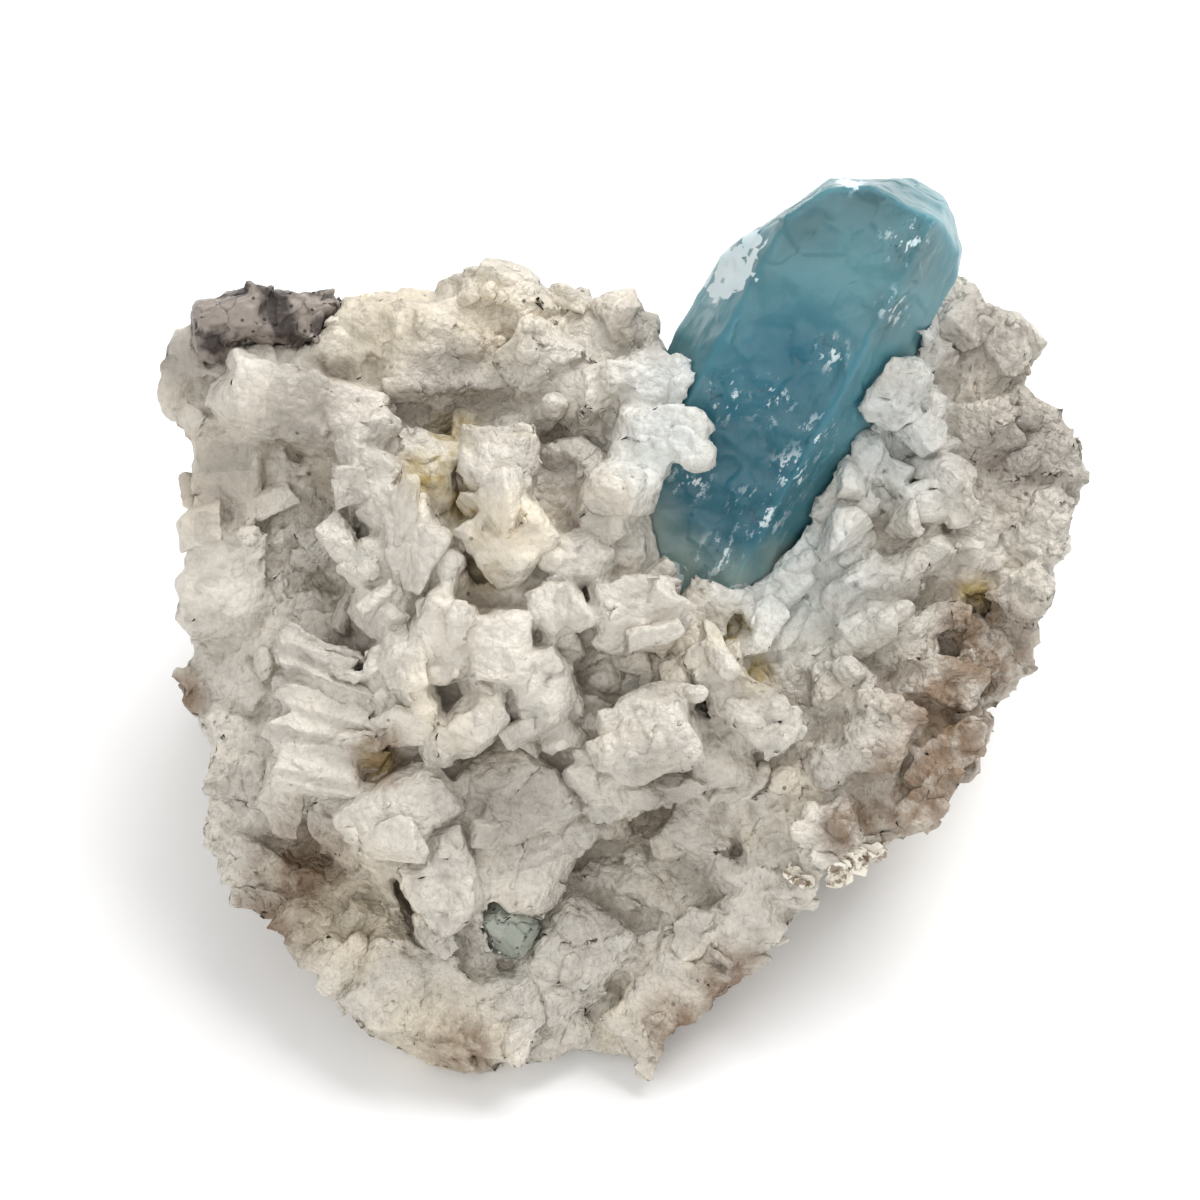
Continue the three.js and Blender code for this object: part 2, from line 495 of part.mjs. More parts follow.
// Crystals over the back and the sides, turned to lie on the surface there
function backCrystals(under) {
  const find = seatFinder([under]);
  const random = chance(5);
  const middle = new THREE.Vector3(0, -1, -16);
  const solids = [];
  for (let i = 0; i < BACK_CRYSTALS; i += 1) {
    const height = 1 - (2 * (i + 0.5)) / BACK_CRYSTALS;
    const round = Math.PI * (1 + Math.sqrt(5)) * i;
    const ring = Math.sqrt(1 - height * height);
    const away = new THREE.Vector3(ring * Math.cos(round), ring * Math.sin(round), height);
    if (away.z > 0.25) continue; // the face has its own crystals
    const start = middle.clone().addScaledVector(away, 100);
    const hit = find(start.toArray(), away.clone().negate().toArray());
    const length = 8 + 5 * random();
    const size = [length, length * (0.5 + 0.4 * random()), length * (0.5 + 0.2 * random())];
    const lay = new THREE.Quaternion().setFromUnitVectors(new THREE.Vector3(0, 0, 1), hit.face.normal);
    const spin = new THREE.Quaternion().setFromAxisAngle(new THREE.Vector3(0, 0, 1), random() * Math.PI);
    const place = new THREE.Matrix4().compose(
      hit.point.clone().addScaledVector(hit.face.normal, size[2] * -0.24),
      lay.multiply(spin),
      new THREE.Vector3(1, 1, 1),
    );
    const habit = ["block", "lump", "prism", "block"][i % 4];
    solids.push(crystal({ habit, size, middle: [0, 0, 0], seed: i + 400 }).transform(place.elements));
  }
  return solids;
}

// The smoky quartz grains on the upper left edge, and the one bare grain in the foot
const CROWN_QUARTZ = [
  { middle: [-33.4, 25.8, -1.4], size: [6.4, 4.6, 7], turn: 14, habit: "prism", seed: 701 },
  { middle: [-29.2, 26, -1.8], size: [6.6, 4.6, 7], turn: -8, habit: "block", seed: 702 },
  { middle: [-35, 23.8, -0.4], size: [3.8, 4, 5], turn: 60, habit: "lump", seed: 703 },
  { middle: [-26, 26.8, -2.4], size: [4.4, 3, 5], turn: 20, habit: "lump", seed: 704 },
];
const FOOT_QUARTZ = [
  { middle: [-10.2, -26, -0.4], size: [5, 4, 4.6], turn: -38, habit: "prism", seed: 711 },
];

// A book of mica: plates one on another, fanned open
function micaBook({ middle, width, plates, turn, spread, seed }) {
  return Array.from({ length: plates }, (_, i) => {
    const step = i - (plates - 1) / 2;
    return {
      habit: "blade",
      middle: [middle[0] + 0.35 * step, middle[1] - 0.3 * step, middle[2] + 0.5 * step],
      size: [width * (1 - 0.05 * i), width * 0.8, 0.75],
      turn: turn + 17 * i,
      dip: spread * step,
      roll: 24 - 6 * i,
      rough: 0.05,
      seed: seed + i,
    };
  });
}
const LARGE_MICA = micaBook({ middle: [19.2, -20.2, -1.2], width: 5.4, plates: 4, turn: 30, spread: 7, seed: 721 });
const SMALL_MICA = micaBook({ middle: [14.4, -21.4, -0.2], width: 2.8, plates: 2, turn: -10, spread: 9, seed: 731 });

const grains = (list, grow = 0) => join(list.map((one) => crystal(one, grow)));

// Everything under the flat break that the piece stands on
function ground() {
  const down = new THREE.Vector3(0, -Math.sin(FACE_LEAN), -Math.cos(FACE_LEAN));
  return beyond(down.clone().multiplyScalar(FACE_MIDDLE[2]).toArray(), down.toArray());
}

function feldspar() {
  const mass = (one, i) => crystal({ habit: "mass", ...one, seed: i + 1 });
  const widest = flank([FLANK[0], { ...FLANK[1], w: FLANK.at(-1).w }]);
  const front = join(MASSES.map(mass)).intersect(flank(FLANK));
  const core = front.add(join(BACK_KNOBS.map(mass)));
  const whole = join([core, ...faceCrystals(core), ...backCrystals(core)]);
  const pits = PITS.map((one, i) => crystal({ ...one, seed: i + 600 }));
  const sockets = [CROWN_QUARTZ, FOOT_QUARTZ, LARGE_MICA, SMALL_MICA].map((list) => grains(list, JOIN_GAP));
  const cut = join([...pits, ...sockets, beryl(JOIN_GAP), ground()]);
  const pieces = whole.intersect(widest).subtract(cut).decompose();
  return pieces.sort((a, b) => b.volume() - a.volume())[0]; // loose chips that the cuts leave are dropped
}

const MATERIALS = {
  aquamarine: new THREE.MeshStandardMaterial({ color: 0x4f93a6, roughness: 0.25, metalness: 0 }),
  albite: new THREE.MeshStandardMaterial({ color: 0xdbd7cf, roughness: 0.6, metalness: 0 }),
  smokyQuartz: new THREE.MeshStandardMaterial({ color: 0x8f8984, roughness: 0.3, metalness: 0 }),
  mica: new THREE.MeshStandardMaterial({ color: 0xd9cfb8, roughness: 0.2, metalness: 0 }),
};

function named(name, solid, material) {
  const mesh = new THREE.Mesh(geometryOf(solid), material);
  mesh.name = name;
  return mesh;
}

const specimen = new THREE.Group();
specimen.rotation.x = FACE_LEAN;
specimen.position.set(...FACE_MIDDLE);
specimen.add(
  named("aquamarine_crystal", beryl(), MATERIALS.aquamarine),
  named("albite_matrix", feldspar(), MATERIALS.albite),
  named("smoky_quartz_crown", grains(CROWN_QUARTZ), MATERIALS.smokyQuartz),
  named("smoky_quartz_foot", grains(FOOT_QUARTZ), MATERIALS.smokyQuartz),
  named("mica_book_large", grains(LARGE_MICA), MATERIALS.mica),
  named("mica_book_small", grains(SMALL_MICA), MATERIALS.mica),
);

export default specimen;
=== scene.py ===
"""A blue aquamarine crystal on a loose piece of white albite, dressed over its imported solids."""

import math
import random

import bmesh
import bpy
import numpy as np
from bpy.props import FloatProperty, FloatVectorProperty, IntProperty
from bpy.types import Operator, Panel, PropertyGroup
from mathutils import Matrix, Vector
from mathutils.bvhtree import BVHTree


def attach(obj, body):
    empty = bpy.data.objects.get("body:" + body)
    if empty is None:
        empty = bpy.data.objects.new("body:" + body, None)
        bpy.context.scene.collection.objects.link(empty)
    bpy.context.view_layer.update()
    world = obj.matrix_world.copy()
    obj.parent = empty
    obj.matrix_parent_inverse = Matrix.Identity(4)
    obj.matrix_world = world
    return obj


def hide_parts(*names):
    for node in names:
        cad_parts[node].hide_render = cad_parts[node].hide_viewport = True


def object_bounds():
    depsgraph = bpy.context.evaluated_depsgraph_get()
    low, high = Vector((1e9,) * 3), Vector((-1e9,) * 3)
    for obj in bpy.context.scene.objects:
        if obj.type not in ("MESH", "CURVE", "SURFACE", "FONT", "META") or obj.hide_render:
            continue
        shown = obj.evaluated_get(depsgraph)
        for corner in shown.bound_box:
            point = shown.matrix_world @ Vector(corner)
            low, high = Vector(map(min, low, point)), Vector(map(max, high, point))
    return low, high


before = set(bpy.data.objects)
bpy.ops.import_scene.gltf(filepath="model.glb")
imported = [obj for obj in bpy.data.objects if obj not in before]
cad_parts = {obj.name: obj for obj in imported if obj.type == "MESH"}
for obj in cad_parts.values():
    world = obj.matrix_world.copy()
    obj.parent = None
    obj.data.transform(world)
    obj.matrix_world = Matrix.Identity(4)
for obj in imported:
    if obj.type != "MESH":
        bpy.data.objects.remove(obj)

bl_info = {
    "name": "Aquamarine on albite",
    "version": (1, 0, 0),
    "blender": (4, 5, 0),
    "location": "View3D > Sidebar > Specimen",
    "description": "Builds the looks of a mineral specimen over its solids",
    "category": "Object",
}

MM = 0.001
# Points nearer than this are one, in metres
SAME_POINT = 1e-6
CAD_BOX = [Vector(corner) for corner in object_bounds()]

# The side that carries the crystal leans back. It is worked on face on: u runs to the right
# across it, v up it and w out of it, in millimetres from the middle of the face.
FACE_LEAN = math.radians(40)
FACE_MIDDLE = Vector((0.1, -6.12, 28.6))
FACE_TURN = Matrix.Rotation(FACE_LEAN, 3, "X")


def on_face(u, v, w):
    """A place given on the face, in the frame's metres."""
    return (FACE_MIDDLE + FACE_TURN @ Vector((u, v, w))) * MM


def linear(code):
    """An sRGB hex colour as linear red, green and blue."""
    parts = [int(code[i : i + 2], 16) / 255 for i in (1, 3, 5)]
    return tuple(x / 12.92 if x <= 0.04045 else ((x + 0.055) / 1.055) ** 2.4 for x in parts)


def length(name, about, value):
    """A size that a user may change, given in mm."""
    return FloatProperty(
        name=name, description=about, default=value * MM, min=0, subtype="DISTANCE", precision=5,
    )


def colour(name, about, code):
    """A colour that a user may change, given as an sRGB hex code."""
    return FloatVectorProperty(
        name=name, description=about, default=linear(code), subtype="COLOR", size=3, min=0, max=1,
    )


class SpecimenSizes(PropertyGroup):
    voxel: length("Grain of the stone", "Cell size that the albite's solid is remade at", 0.27)
    big_spacing: length(
        "Large crystals", "Distance between the places where a large crystal may sit", 3.4,
    )
    small_spacing: length(
        "Small crystals", "Distance between the places where a small crystal may sit", 1.5,
    )
    crystal_voxel: length("Grain of the crystals", "Cell size that the crystals are fused at", 0.18)
    stone_triangles: IntProperty(
        name="Stone triangles",
        description="Most triangles in the stone, and in each of the two layers of crystals",
        default=190000, min=1000,
    )
    worn_beryl: length(
        "Grain of the aquamarine", "Cell size that the crystal's worn faces are remade at", 0.24,
    )
    worn_quartz: length(
        "Grain of the quartz", "Cell size that the broken grains are remade at", 0.16,
    )


class SpecimenColours(PropertyGroup):
    albite_white: colour("Albite white", "Clean feldspar", "#cdc7bc")
    albite_cream: colour("Albite cream", "Feldspar warmed by a little iron", "#d6cbb6")
    # Also painted shadow: the grey spots under the central cluster use this colour
    albite_grey_and_shade: colour("Albite grey", "Glassy, greyer feldspar", "#a39b91")
    albite_cool: colour("Albite by the aquamarine", "Feldspar with a cold cast", "#d4d6d2")
    iron_stain: colour("Iron stain", "Rusty film in the hollows", "#ab9448")
    tan_crust: colour("Tan crust", "Weathered feldspar", "#86705a")
    # Dirt and painted shade: this colour darkens the hollows
    dust_and_shade: colour("Dust", "Dirt that has settled in the hollows", "#7a6c57")
    beryl_core: colour("Aquamarine core", "The deepest blue of the crystal", "#21768b")
    beryl_rim: colour("Aquamarine rim", "The paler blue at its edges", "#6ea4ac")
    # Also painted light: the glints along the cracks and the lit spot at the foot use this white
    frost_and_painted_light: colour("Frost", "Etched and chipped beryl", "#dde8ea")
    quartz: colour("Smoky quartz", "The grey grains", "#a2978e")
    mica: colour("Mica", "The pearly plates", "#f4eee0")


def object_of(name, mesh, material):
    """A new object with one material."""
    piece = bpy.data.objects.new(name, mesh)
    bpy.context.scene.collection.objects.link(piece)
    mesh.materials.clear()
    mesh.materials.append(material)
    return piece


def merged_copy(node):
    """A copy of a CAD node's mesh with its loose triangles merged."""
    bm = bmesh.new()
    bm.from_mesh(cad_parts[node].data)
    bmesh.ops.remove_doubles(bm, verts=bm.verts, dist=SAME_POINT)
    return bm


def to_mesh(bm, name):
    mesh = bpy.data.meshes.new(name)
    bm.to_mesh(mesh)
    bm.free()
    return mesh


def applied(piece):
    """The piece with its modifiers applied."""
    evaluated = piece.evaluated_get(bpy.context.evaluated_depsgraph_get())
    mesh = bpy.data.meshes.new_from_object(evaluated)
    mesh.name = piece.name
    piece.modifiers.clear()
    piece.data = mesh
    return piece


def surface_of(thing):
    """A tree that rays and nearest points are asked of, for an object's mesh."""
    bm = bmesh.new()
    bm.from_mesh(thing.data)
    tree = BVHTree.FromBMesh(bm)
    bm.free()
    return tree


def other_minerals():
    """The surfaces of the CAD nodes that the albite holds."""
    return [surface_of(thing) for name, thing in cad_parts.items() if name != "albite_matrix"]


def coordinates(mesh):
    points = np.empty(len(mesh.vertices) * 3, dtype=np.float32)
    mesh.vertices.foreach_get("co", points)
    return points.reshape(-1, 3)


def kept_in_box(mesh):
    """Draws in what stands out of the CAD model's box."""
    points = coordinates(mesh)
    low, high = (np.array(corner, dtype=np.float32) for corner in CAD_BOX)
    mesh.vertices.foreach_set("co", np.clip(points, low, high).ravel())
    mesh.update()


# The forms of the crystals are about 1 across, and each is then sized to its place. Flat faces are
# cut off them at these distances from the middle, from and to
CUT_DEPTHS = (0.34, 0.5)
FORMS_OF_EACH = 12


def shaken(bm, amount, rng):
    """Moves each corner a little."""
    for vert in bm.verts:
        vert.co += Vector([(rng.random() - 0.5) * amount for _ in range(3)])


def chopped(bm, cuts, rng):
    """Cuts flat faces off a form at odd angles."""
    for _ in range(cuts):
        normal = Vector([rng.uniform(-1, 1) for _ in range(3)]).normalized()
        cut = bmesh.ops.bisect_plane(
            bm, geom=bm.verts[:] + bm.edges[:] + bm.faces[:], dist=1e-5,
            plane_co=normal * rng.uniform(*CUT_DEPTHS), plane_no=normal, clear_outer=True,
        )
        rim = [item for item in cut["geom_cut"] if isinstance(item, bmesh.types.BMEdge)]
        if rim:
            bmesh.ops.edgeloop_fill(bm, edges=rim)


def worn(bm, amount):
    """Takes the edges off a form."""
    bmesh.ops.bevel(
        bm, geom=bm.edges[:], offset=amount, offset_type="OFFSET", segments=1, profile=0.5,
        affect="EDGES", clamp_overlap=True, material=-1,
    )
    for face in bm.faces:
        face.smooth = True


def block_form(rng):
    """A stout feldspar block with a few odd faces and worn edges."""
    bm = bmesh.new()
    bmesh.ops.create_cube(bm, size=1)
    shaken(bm, 0.14, rng)
    chopped(bm, 6, rng)
    worn(bm, 0.09)
    return bm


def prism_form(rng):
    """A six-sided prism with blunt ends, lying along x."""
    bm = bmesh.new()
    lie_down = Matrix.Rotation(math.radians(90), 4, "Y")
    bmesh.ops.create_cone(
        bm, cap_ends=True, segments=6, radius1=0.5, radius2=0.5, depth=0.76, matrix=lie_down,
    )
    caps = [face for face in bm.faces if abs(face.normal.x) > 0.9]
    bmesh.ops.inset_individual(bm, faces=caps, thickness=0.2, depth=0.12)
    shaken(bm, 0.08, rng)
    chopped(bm, 2, rng)
    worn(bm, 0.05)
    return bm


def blade_form(rng):
    """A plate with a ragged outline."""
    bm = bmesh.new()
    bmesh.ops.create_cone(bm, cap_ends=True, segments=7, radius1=0.5, radius2=0.44, depth=1)
    shaken(bm, 0.12, rng)
    chopped(bm, 2, rng)
    worn(bm, 0.04)
    return bm


def lump_form(rng):
    """A rounded grain with a few flat faces."""
    bm = bmesh.new()
    bmesh.ops.create_icosphere(bm, subdivisions=2, radius=0.54)
    shaken(bm, 0.05, rng)
    chopped(bm, 5, rng)
    for face in bm.faces:
        face.smooth = True
    return bm


def chip_form(rng):
    """A plain cleavage chip."""
    bm = bmesh.new()
    bmesh.ops.create_cube(bm, size=1)
    shaken(bm, 0.3, rng)
    chopped(bm, 2, rng)
    return bm


FORMS = {
    "block": block_form, "prism": prism_form, "blade": blade_form, "lump": lump_form,
    "chip": chip_form,
}


def forms_of(habit, count, rng):
    return [to_mesh(FORMS[habit](rng), f"{habit}_form_{i}") for i in range(count)]


def lay(point, normal, size, turn, tilt, proud):
    """Where a crystal goes: on the surface at point, turned on it and tilted up from it. Its
    length is turned from u as it is seen face on."""
    across = (FACE_TURN @ Vector((math.cos(turn), math.sin(turn), 0))).normalized()
    up = normal.normalized()
    along = (across - up * across.dot(up)).normalized()
    side = up.cross(along)
    seat = Matrix((along, side, up)).transposed().to_4x4()
    place = Matrix.Translation(point + up * (proud - 0.5) * size[2] * MM)
    lift = Matrix.Rotation(-tilt, 4, "Y")
    return place @ seat @ lift @ Matrix.Diagonal((*[x * MM for x in size], 1))


def add_crystal(bm, form, place):
    copy = form.copy()
    copy.transform(place)
    bm.from_mesh(copy)
    bpy.data.meshes.remove(copy)


# How the feldspar grows from place to place on the face. at is the place, u and v in mm. shares
# are a crystal's width and thickness as shares of its length, turn is the direction of that in
# degrees, and vary and tilt how far it turns and tips from there. proud is the share of its
# thickness that stands out. big and small give the lengths in mm, from and to, of the large and
# the small crystals, and the share of places that carry one. rough is how rough the stone is.
GROWTH_COLUMNS = ("at", "habit", "shares", "turn", "vary", "tilt", "proud", "big", "small", "rough")
GROWTH_ROWS = (
    ((-34, 12), "block", (0.5, 0.3), 92, 5, 3, 0.02, (4, 7, 0.02), (0.5, 1.4, 0.01), 0.2),
    ((-35, 2), "block", (0.5, 0.3), 90, 5, 3, 0.02, (4, 7, 0.03), (0.5, 1.4, 0.01), 0.25),
    ((-36, -7), "lump", (0.8, 0.6), 60, 60, 20, 0.35, (2.4, 4, 0.25), (0.5, 1.3, 0.14), 0.8),
    ((-29, 17), "block", (0.6, 0.3), -14, 10, 4, 0.15, (4, 6, 0.04), (0.5, 1.4, 0.01), 0.2),
    ((-20, 25), "block", (0.6, 0.3), 10, 14, 6, 0.15, (3, 6, 0.07), (0.5, 1.1, 0.04), 0.3),
    ((-8, 28), "lump", (0.9, 0.8), 0, 90, 40, 0.45, (2, 3.6, 0.35), (0.5, 1.3, 0.21), 0.8),
    ((-14, 20), "lump", (0.8, 0.6), 20, 90, 40, 0.35, (2.4, 4, 0.25), (0.5, 1.4, 0.14), 0.8),
    ((-4, 19), "lump", (0.8, 0.6), 20, 90, 40, 0.4, (2.6, 4.4, 0.3), (0.5, 1.4, 0.12), 0.6),
    ((3, 16), "lump", (0.8, 0.7), 20, 60, 30, 0.45, (2.6, 4.6, 0.38), (0.5, 1.5, 0.07), 0.3),
    ((-27, 8), "chip", (0.8, 0.6), 0, 90, 40, 0.4, (2, 3.6, 0.23), (0.5, 1.3, 0.28), 1),
    ((-23, -1), "block", (0.7, 0.5), 0, 50, 20, 0.3, (2.6, 4.4, 0.2), (0.5, 1.3, 0.07), 0.5),
    ((-24, -8), "blade", (0.6, 0.13), 6, 8, 5, 0.5, (4, 7, 0.6), (0.5, 2.1, 0.14), 0.5),
    ((-16, 9), "block", (0.8, 0.6), 60, 50, 24, 0.35, (3, 5, 0.17), (0.5, 1.4, 0.03), 0.2),
    ((-6, 6), "lump", (0.85, 0.7), 20, 60, 24, 0.4, (3, 5.4, 0.2), (0.5, 1.5, 0.05), 0.3),
    ((-14, -5), "prism", (0.6, 0.5), 70, 40, 20, 0.35, (3, 5.4, 0.24), (0.5, 1.7, 0.04), 0.3),
    ((-26, -15), "block", (0.6, 0.4), 82, 12, 8, 0.2, (3, 6, 0.1), (0.5, 1.3, 0.05), 0.45),
    ((-31, -21), "chip", (0.8, 0.6), 0, 90, 40, 0.4, (2.4, 4.4, 0.27), (0.5, 1.3, 0.21), 0.9),
    ((-13, -16), "block", (0.7, 0.35), 30, 24, 10, 0.2, (3, 5, 0.12), (0.5, 1.4, 0.09), 0.55),
    ((-15, -31), "chip", (0.8, 0.4), 50, 60, 18, 0.3, (2.6, 5, 0.23), (0.5, 1.4, 0.17), 0.85),
    ((0, -29), "block", (0.7, 0.4), 50, 60, 18, 0.3, (2.4, 4.6, 0.25), (0.5, 1.4, 0.16), 0.8),
    ((11, -24), "blade", (0.6, 0.18), 30, 24, 8, 0.4, (3, 6, 0.45), (0.5, 1.7, 0.12), 0.7),
    ((3, -12), "lump", (0.8, 0.6), 20, 60, 24, 0.35, (2.6, 4.6, 0.2), (0.5, 1.4, 0.09), 0.5),
    ((9, -5), "prism", (0.42, 0.35), -42, 12, 8, 0.4, (4, 7, 0.39), (0.5, 2.1, 0.09), 0.45),
    ((18, -10), "lump", (0.8, 0.7), 30, 90, 40, 0.45, (2.2, 3.8, 0.35), (0.5, 1.4, 0.17), 0.8),
    ((17, 4), "prism", (0.42, 0.38), 42, 14, 8, 0.45, (4, 7, 0.39), (0.5, 2.1, 0.07), 0.35),
    ((22, 14), "block", (0.7, 0.6), 50, 40, 26, 0.45, (3, 5.4, 0.28), (0.5, 1.7, 0.05), 0.3),
    ((28, 7), "block", (0.6, 0.5), 30, 50, 24, 0.4, (2.4, 4.4, 0.25), (0.5, 1.4, 0.12), 0.6),
    ((34, 14), "lump", (0.8, 0.6), 0, 90, 40, 0.4, (2.2, 4, 0.3), (0.5, 1.3, 0.21), 1),
    ((28, 25), "block", (0.7, 0.6), 40, 60, 30, 0.4, (2.6, 4.6, 0.28), (0.5, 1.4, 0.09), 0.6),
    ((31, -3), "chip", (0.9, 0.7), 0, 90, 40, 0.45, (1.8, 3.4, 0.27), (0.5, 1.1, 0.24), 1),
    ((26, -13), "blade", (0.6, 0.16), 36, 10, 6, 0.45, (3.4, 6, 0.52), (0.5, 1.8, 0.12), 0.6),
)
GROWTH = [dict(zip(GROWTH_COLUMNS, row)) for row in GROWTH_ROWS]
# The same for the sides and the back, which have no places of their own
BACK_ROW = (None, "block", (0.75, 0.5), 0, 90, 20, 0.3, (3, 6, 0.3), (0.5, 1.7, 0.17), 0.9)
BACK_GROWTH = dict(zip(GROWTH_COLUMNS, BACK_ROW))

# Grains in the bottom of the pits: middle u, v, w and size in mm, then the way they stand out of
# the face, their turn and their tilt
PIT_GRAINS = [
    (9, -0.4, -1.2, 4), (9.4, -2, -0.6, 3.4), (29.8, 1.4, -7, 4.4), (-2.4, -4.4, 0.4, 4.6),
    (-13.4, 11.6, 1, 4), (-12.6, 4.6, 2, 3.4),
]
PIT_OUT = (0.1, 0.3, 1)
PIT_TURN = 0.6
PIT_TILT = 0.2
# The share that a grain, plate or flake stands out where it lies on no surface
HALF_OUT = 0.5
# The fan of plates: how many, their width, thickness and height in mm, the ends, u, v, w, of the
# line that their left edges lie on, how they are turned at its top and by how much more at its
# end, in degrees, and which way they stand out of the face
FAN_PLATES = 11
FAN_WIDTH = 8
FAN_THICKNESS = 1.5
FAN_TOP = (-29, -1, 3.4)
FAN_END = (-28.8, -13.4, 3.2)
FAN_HEIGHT = 4.4
FAN_TURN = -20
FAN_TURNS_ON = 14
FAN_OUT = (0.1, 0.35, 1)
FAN_TILT = 0.06


def growth_at(u, v):
    """The row of the table whose place is nearest."""
    return min(GROWTH, key=lambda zone: (zone["at"][0] - u) ** 2 + (zone["at"][1] - v) ** 2)


# Crystals are sown over this part of the face, its lower left corner and size in mm, by looking
# at the stone from this far in front of it
SOWN_FROM = (-41, -40)
SOWN_SIZE = (82, 72)
LOOK_FROM = 60
# On the sides and the back they are sown from all round this point, in mm, from this far out in
# metres. None goes on what faces as the face does by more than this share, or lies this near the
# ground in mm
STONE_MIDDLE = (0, 0, 22)
AROUND_FROM = 0.2
FACES_FRONT = 0.8
ABOVE_GROUND = 1.5
# How many places there are on the sides and the back, for the large and the small crystals
BIG_AROUND = 900
SMALL_AROUND = 1600
# A crystal's middle stays this share of its length away from the other minerals
CLEAR_SHARE = 0.42


def face_seats(stone, spacing, rng):
    """Points over the face, a spacing apart, with what they lie on: place, normal, u and v."""
    others = other_minerals()
    out = FACE_TURN @ Vector((0, 0, 1))
    seats = []
    step = spacing / MM
    for row in range(int(SOWN_SIZE[1] / step)):
        for column in range(int(SOWN_SIZE[0] / step)):
            u = SOWN_FROM[0] + (column + rng.random()) * step
            v = SOWN_FROM[1] + (row + rng.random()) * step
            start = on_face(u, v, LOOK_FROM)
            point, normal, _, distance = stone.ray_cast(start, -out)
            if point is None:
                continue
            covered = [other.ray_cast(start, -out)[3] for other in others]
            if any(d is not None and d < distance for d in covered):
                continue
            seats.append((point, normal, u, v))
    return seats


def around_seats(stone, count, rng):
    """Points over the sides and the back."""
    middle = Vector(STONE_MIDDLE) * MM
    out = FACE_TURN @ Vector((0, 0, 1))
    golden = math.pi * (1 + math.sqrt(5))
    seats = []
    for i in range(count):
        height = 1 - 2 * (i + rng.random()) / count
        ring = math.sqrt(max(0, 1 - height * height))
        away = Vector((ring * math.cos(golden * i), ring * math.sin(golden * i), height))
        point, normal, _, _ = stone.ray_cast(middle + away * AROUND_FROM, -away)
        if point is None or normal.dot(out) > FACES_FRONT or point.z < ABOVE_GROUND * MM:
            continue
        seats.append((point, normal))
    return seats


def clear_of(others, point, reach):
    return all(other.find_nearest(point, reach)[0] is None for other in others)


def grow(stone, layer, spacing, around, forms, rng):
    """Chooses the crystals of one layer: the side each is on, its form and its place."""
    others = other_minerals()
    seats = [(p, n, growth_at(u, v), "face") for p, n, u, v in face_seats(stone, spacing, rng)]
    seats += [(p, n, BACK_GROWTH, "back") for p, n in around_seats(stone, around, rng)]
    crystals = []
    for point, normal, zone, side in seats:
        low, high, share = zone[layer]
        if rng.random() > share:
            continue
        long = rng.uniform(low, high)
        if not clear_of(others, point, CLEAR_SHARE * long * MM):
            continue
        size = (long, long * zone["shares"][0], long * zone["shares"][1])
        turn = math.radians(zone["turn"] + rng.uniform(-1, 1) * zone["vary"])
        tilt = math.radians(rng.uniform(-1, 1) * zone["tilt"])
        place = lay(point, normal, size, turn, tilt, zone["proud"])
        crystals.append((side, rng.choice(forms[zone["habit"]]), place))
    return crystals


def fan_plates():
    """The fan of thin plates on the left: each one's left edge lies on one line, and its ragged
    right edge stands out over the next."""
    rng = random.Random(4)
    places = []
    for i in range(FAN_PLATES):
        down = i / (FAN_PLATES - 1)
        reach = FAN_WIDTH * (0.8 + 0.2 * down + 0.16 * (-1) ** i * rng.random())
        left = Vector(FAN_TOP).lerp(Vector(FAN_END), down)
        turn = math.radians(FAN_TURN + FAN_TURNS_ON * down + rng.uniform(-4, 4))
        half = reach / 2
        middle = on_face(
            left.x + half * math.cos(turn), left.y + half * math.sin(turn),
            left.z + rng.uniform(-0.4, 0.4),
        )
        out = FACE_TURN @ Vector(FAN_OUT)
        size = (reach, FAN_THICKNESS * rng.uniform(0.8, 1.2), FAN_HEIGHT)
        places.append(lay(middle, out, size, turn, FAN_TILT, HALF_OUT))
    return places


def on_face_coordinates(points):
    """u, v and w in mm of points given in the frame's metres."""
    return (points / MM - np.array(FACE_MIDDLE)) @ np.array(FACE_TURN)


# Rough and smooth places run into each other over about this distance, and what lies further
# back than this from the face has no place on it, in mm
BLEND_WIDTH = 3
FACE_DEPTH = 9
# Spots of colour reach this far back, in mm, and are full in the middle, with this fall to the rim
SPOT_DEPTH = 14
SPOT_FALL = 1.4
# Hollows are found by comparing the surface with its mean over cells of this size, in mm, and are
# full at this depth in mm
HOLLOW_CELL = 1.8
HOLLOW_DEPTH = 1.2


def roughness_at(points):
    """How rough the feldspar is at each point."""
    on = on_face_coordinates(points)
    spots = np.array([zone["at"] for zone in GROWTH])
    levels = np.array([zone["rough"] for zone in GROWTH])
    near = np.exp(-((on[:, None, :2] - spots[None]) ** 2).sum(2) / (2 * BLEND_WIDTH**2))
    blend = (near * levels).sum(1) / np.maximum(near.sum(1), 1e-9)
    return np.where(on[:, 2] < -FACE_DEPTH, BACK_GROWTH["rough"], blend)


def mark(mesh, name, values):
    """Gives a mesh an attribute with a value at each point."""
    mesh.attributes.new(name, "FLOAT", "POINT").data.foreach_set(
        "value", np.asarray(values, dtype=np.float32),
    )


def mark_spots(mesh, name, spots):
    """An attribute that is 1 in the middle of each spot and 0 outside it. A spot is its place, u
    and v, and its radius in mm."""
    on = on_face_coordinates(coordinates(mesh))
    result = np.zeros(len(on))
    for u, v, radius in spots:
        away = np.hypot(on[:, 0] - u, on[:, 1] - v) / radius
        result = np.maximum(result, np.clip(SPOT_FALL * (1 - away), 0, 1))
    mark(mesh, name, result * (on[:, 2] > -SPOT_DEPTH))


